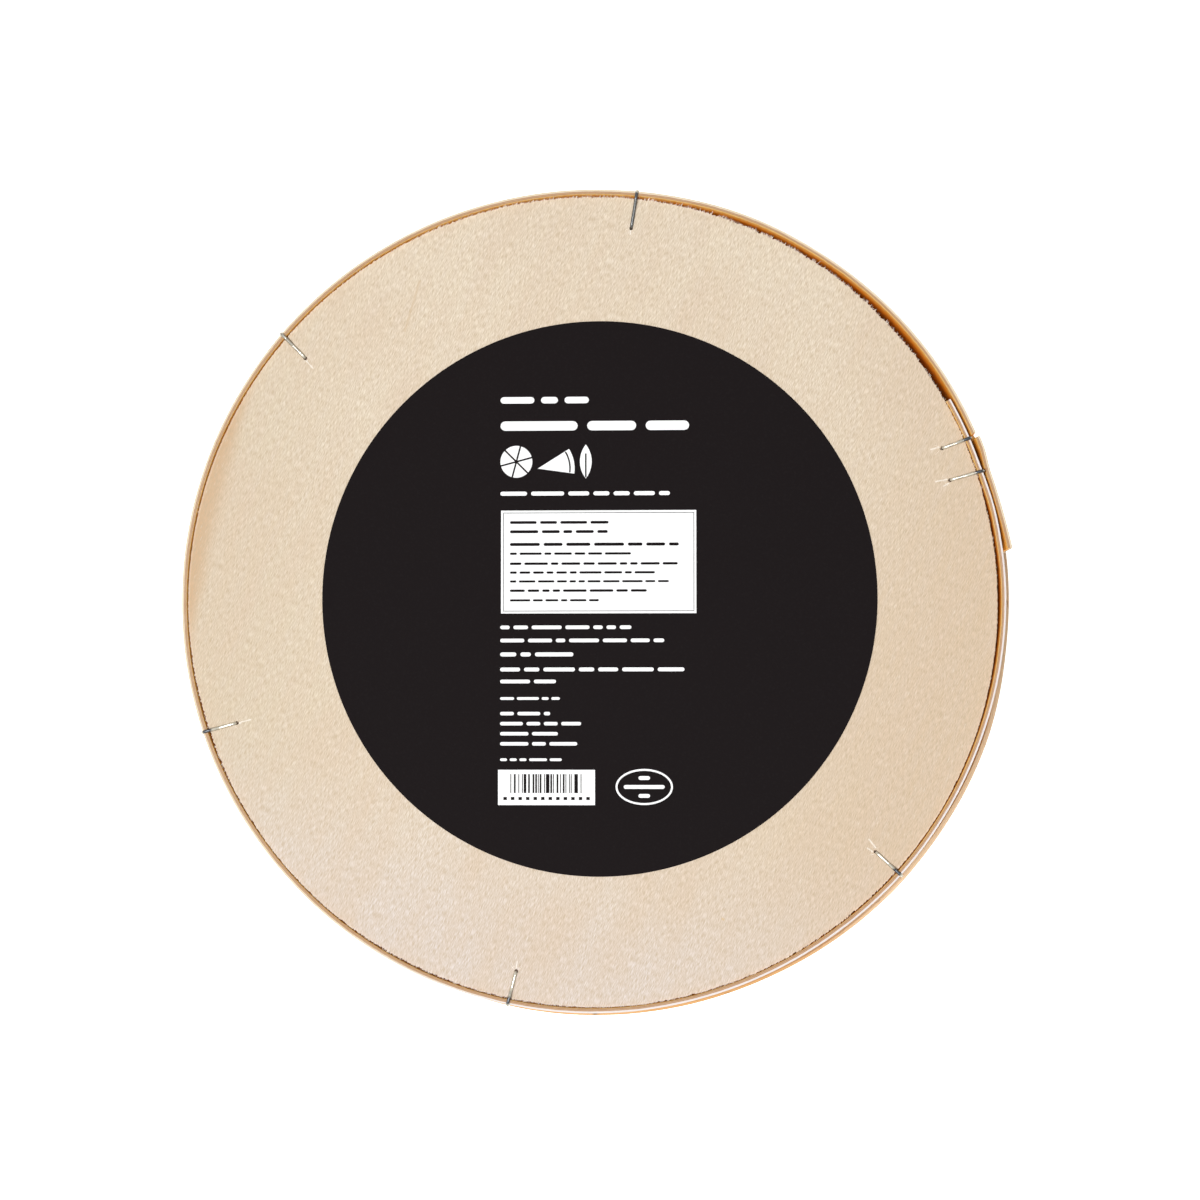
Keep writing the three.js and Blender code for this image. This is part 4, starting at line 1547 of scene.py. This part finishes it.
def paint_block(sheet, rng):
    """Upright bars of chance widths over a row of small marks"""
    left, right, bottom, top = (BLOCK[side] for side in ("left", "right", "bottom", "top"))
    sheet.rectangle(left, right, bottom, top, WHITE)
    start = left + BAR_MARGIN
    end = right - BAR_MARGIN
    while start < end:
        wide = BAR_MODULE * rng.choice(BAR_WIDTHS)
        sheet.rectangle(start, min(end, start + wide), bottom + BAR_FOOT, top - BAR_HEAD, BLACK)
        start += wide + BAR_MODULE * rng.choice(BAR_GAPS)
    for i in range(MARK_COUNT):
        x = left + MARK_START + i * MARK_PITCH
        sheet.rectangle(x, x + MARK_WIDTH, bottom + MARK_FOOT, bottom + MARK_HEAD, BLACK)


def paint_oval(sheet):
    """An oval ring round three short bars"""
    line = 2 * OVAL["line"]
    sheet.oval(OVAL["x"], OVAL["y"], OVAL["width"], OVAL["height"], WHITE)
    sheet.oval(OVAL["x"], OVAL["y"], OVAL["width"] - line, OVAL["height"] - line, BLACK)
    for offset, width in OVAL_BARS:
        sheet.bar(OVAL["x"] - width / 2, OVAL["x"] + width / 2, OVAL["y"] + offset, OVAL_BAR_SIZE, WHITE)


def label_print():
    """Everything that is printed on the label, bottom layer first"""
    rng = random.Random(PRINT_SEED)
    sheet = Print()
    radius = LABEL_RADIUS / MM
    sheet.paint([polar(FULL_TURN * i / LABEL_POINTS, radius).to_2d() for i in range(LABEL_POINTS)], BLACK)
    for line in TITLE_LINES + SMALL_LINES:
        sheet.dashes(rng, line, LEFT_MARGIN)
    paint_wheel(sheet)
    paint_wedge(sheet)
    paint_leaf(sheet)
    paint_panel(sheet, rng)
    paint_block(sheet, rng)
    paint_oval(sheet)
    return sheet


def label_mesh(finish):
    """A thin disc whose face is divided along the print, with the ink of each part stored on it"""
    sheet = label_print()
    points = []
    faces = []
    for outline in sheet.outlines:
        faces.append(list(range(len(points), len(points) + len(outline))))
        points += outline
    found = geometry.delaunay_2d_cdt(points, [], faces, FACES_INSIDE, PRINT_TOLERANCE)
    centre = LABEL_CENTRE.to_2d()
    shape = bmesh.new()
    ink = shape.faces.layers.float.new("ink")
    high, low = LABEL_HIGH.z, LABEL_LOW.z
    top = add_loop(shape, [centre + point * MM for point in found[0]], high)
    for face, sources in zip(found[2], found[5]):
        shape.faces.new([top[i] for i in face])[ink] = sheet.inks[max(sources)]
    rim = [centre + point * MM for point in sheet.outlines[0]]
    upper = add_loop(shape, rim, high)
    lower = add_loop(shape, rim, low)
    bridge(shape, lower, upper)
    shape.faces.new(reversed(lower))
    bmesh.ops.remove_doubles(shape, verts=shape.verts, dist=SAME_PLACE)
    return finished_mesh(shape, "paper_label", finish)


class CHEESEBOX_OT_label(bpy.types.Operator):
    """Prints and places the round paper label"""
    bl_idname = "cheese_box.label"
    bl_label = "Label"

    def execute(self, context):
        finish = label_paper(context.scene.cheese_box_label)
        add_piece("paper_label", label_mesh(finish), ["label"])
        return {"FINISHED"}


# Studio
FLOOR_SIZE = 6.0
KEY_SIZE = 0.5
KEY_DISTANCE = 1.6
SENSOR = 36
CEILING_EDGE = (0.72, 0.84)


def add_camera(studio):
    """A camera above the label, a little off the axis, with +Y up in its picture"""
    aim = Vector((studio.aim_x, studio.aim_y, TOP_FACE))
    side = polar(math.degrees(studio.tilt_side), math.sin(studio.tilt))
    away = Vector((side.x, side.y, math.cos(studio.tilt)))
    right = Vector((0, 1, 0)).cross(away).normalized()
    up = away.cross(right)
    camera = bpy.data.objects.new("camera", bpy.data.cameras.new("camera"))
    turn = Matrix((right, up, away)).transposed().to_4x4()
    camera.matrix_world = Matrix.Translation(aim + away * studio.distance) @ turn
    camera.data.sensor_width = SENSOR
    camera.data.lens = SENSOR * studio.distance / studio.view_width
    camera.data.clip_start = 10 * MM
    bpy.context.scene.collection.objects.link(camera)
    bpy.context.scene.camera = camera


def add_key_light(studio):
    """One soft light above the box, a little to one side"""
    light = bpy.data.lights.new("key", "AREA")
    light.shape = "DISK"
    light.size = KEY_SIZE
    light.energy = studio.key_power
    key = bpy.data.objects.new("key", light)
    way = polar(math.degrees(studio.key_side), math.sin(studio.key_lean), math.cos(studio.key_lean))
    key.location = way * KEY_DISTANCE
    key.rotation_euler = way.to_track_quat("Z", "Y").to_euler()
    bpy.context.scene.collection.objects.link(key)


def add_sky(studio):
    """A wide bright ceiling over an even light from all round, and plain white behind the box"""
    world = bpy.data.worlds.new("studio")
    world.use_nodes = True
    bpy.context.scene.world = world
    sky = Graph(world.node_tree)
    height = sky.split(sky.add("ShaderNodeTexCoord").outputs["Generated"])[2]
    seen = Num(sky, sky.add("ShaderNodeLightPath").outputs["Is Camera Ray"])
    glow = studio.fill + height.smooth(*CEILING_EDGE) * (studio.ceiling - studio.fill)
    strength = glow * (1 - seen) + seen
    back = sky.add("ShaderNodeBackground", None, {"Color": (1, 1, 1, 1), "Strength": strength})
    sky.add("ShaderNodeOutputWorld", None, {"Surface": back.outputs[0]})


def add_floor(studio):
    half = FLOOR_SIZE / 2
    mesh = bpy.data.meshes.new("floor")
    corners = [(-half, -half, 0), (half, -half, 0), (half, half, 0), (-half, half, 0)]
    mesh.from_pydata(corners, [], [(0, 1, 2, 3)])
    mesh.materials.append(floor_paint(studio))
    add_object("floor", mesh)


class CHEESEBOX_OT_studio(bpy.types.Operator):
    """Sets up the floor, the lights and the camera"""
    bl_idname = "cheese_box.studio"
    bl_label = "Studio"

    def execute(self, context):
        studio = context.scene.cheese_box_studio
        context.scene.view_settings.view_transform = "Standard"
        add_camera(studio)
        add_key_light(studio)
        add_sky(studio)
        add_floor(studio)
        return {"FINISHED"}


class CHEESEBOX_PT_panel(bpy.types.Panel):
    """Lists the steps and the settings of the box"""
    bl_label = "Cheese Box"
    bl_idname = "CHEESEBOX_PT_panel"
    bl_space_type = "VIEW_3D"
    bl_region_type = "UI"
    bl_category = "Cheese Box"

    def draw(self, context):
        for operator in OPERATORS:
            self.layout.operator(operator.bl_idname)
        for name, group in SETTINGS.items():
            section = self.layout.box()
            for setting in group.__annotations__:
                section.prop(getattr(context.scene, name), setting)


OPERATORS = [
    CHEESEBOX_OT_studio,
    CHEESEBOX_OT_boards,
    CHEESEBOX_OT_hoops,
    CHEESEBOX_OT_staples,
    CHEESEBOX_OT_fibres,
    CHEESEBOX_OT_label,
]


def register():
    for group in SETTINGS.values():
        bpy.utils.register_class(group)
    for operator in OPERATORS:
        bpy.utils.register_class(operator)
    bpy.utils.register_class(CHEESEBOX_PT_panel)
    for name, group in SETTINGS.items():
        setattr(bpy.types.Scene, name, bpy.props.PointerProperty(type=group))


def unregister():
    for name in SETTINGS:
        delattr(bpy.types.Scene, name)
    bpy.utils.unregister_class(CHEESEBOX_PT_panel)
    for operator in reversed(OPERATORS):
        bpy.utils.unregister_class(operator)
    for group in reversed(list(SETTINGS.values())):
        bpy.utils.unregister_class(group)


def main():
    register()
    bpy.ops.cheese_box.studio()
    bpy.ops.cheese_box.boards()
    bpy.ops.cheese_box.hoops()
    bpy.ops.cheese_box.staples()
    bpy.ops.cheese_box.fibres()
    bpy.ops.cheese_box.label()


if __name__ == "__main__":
    main()
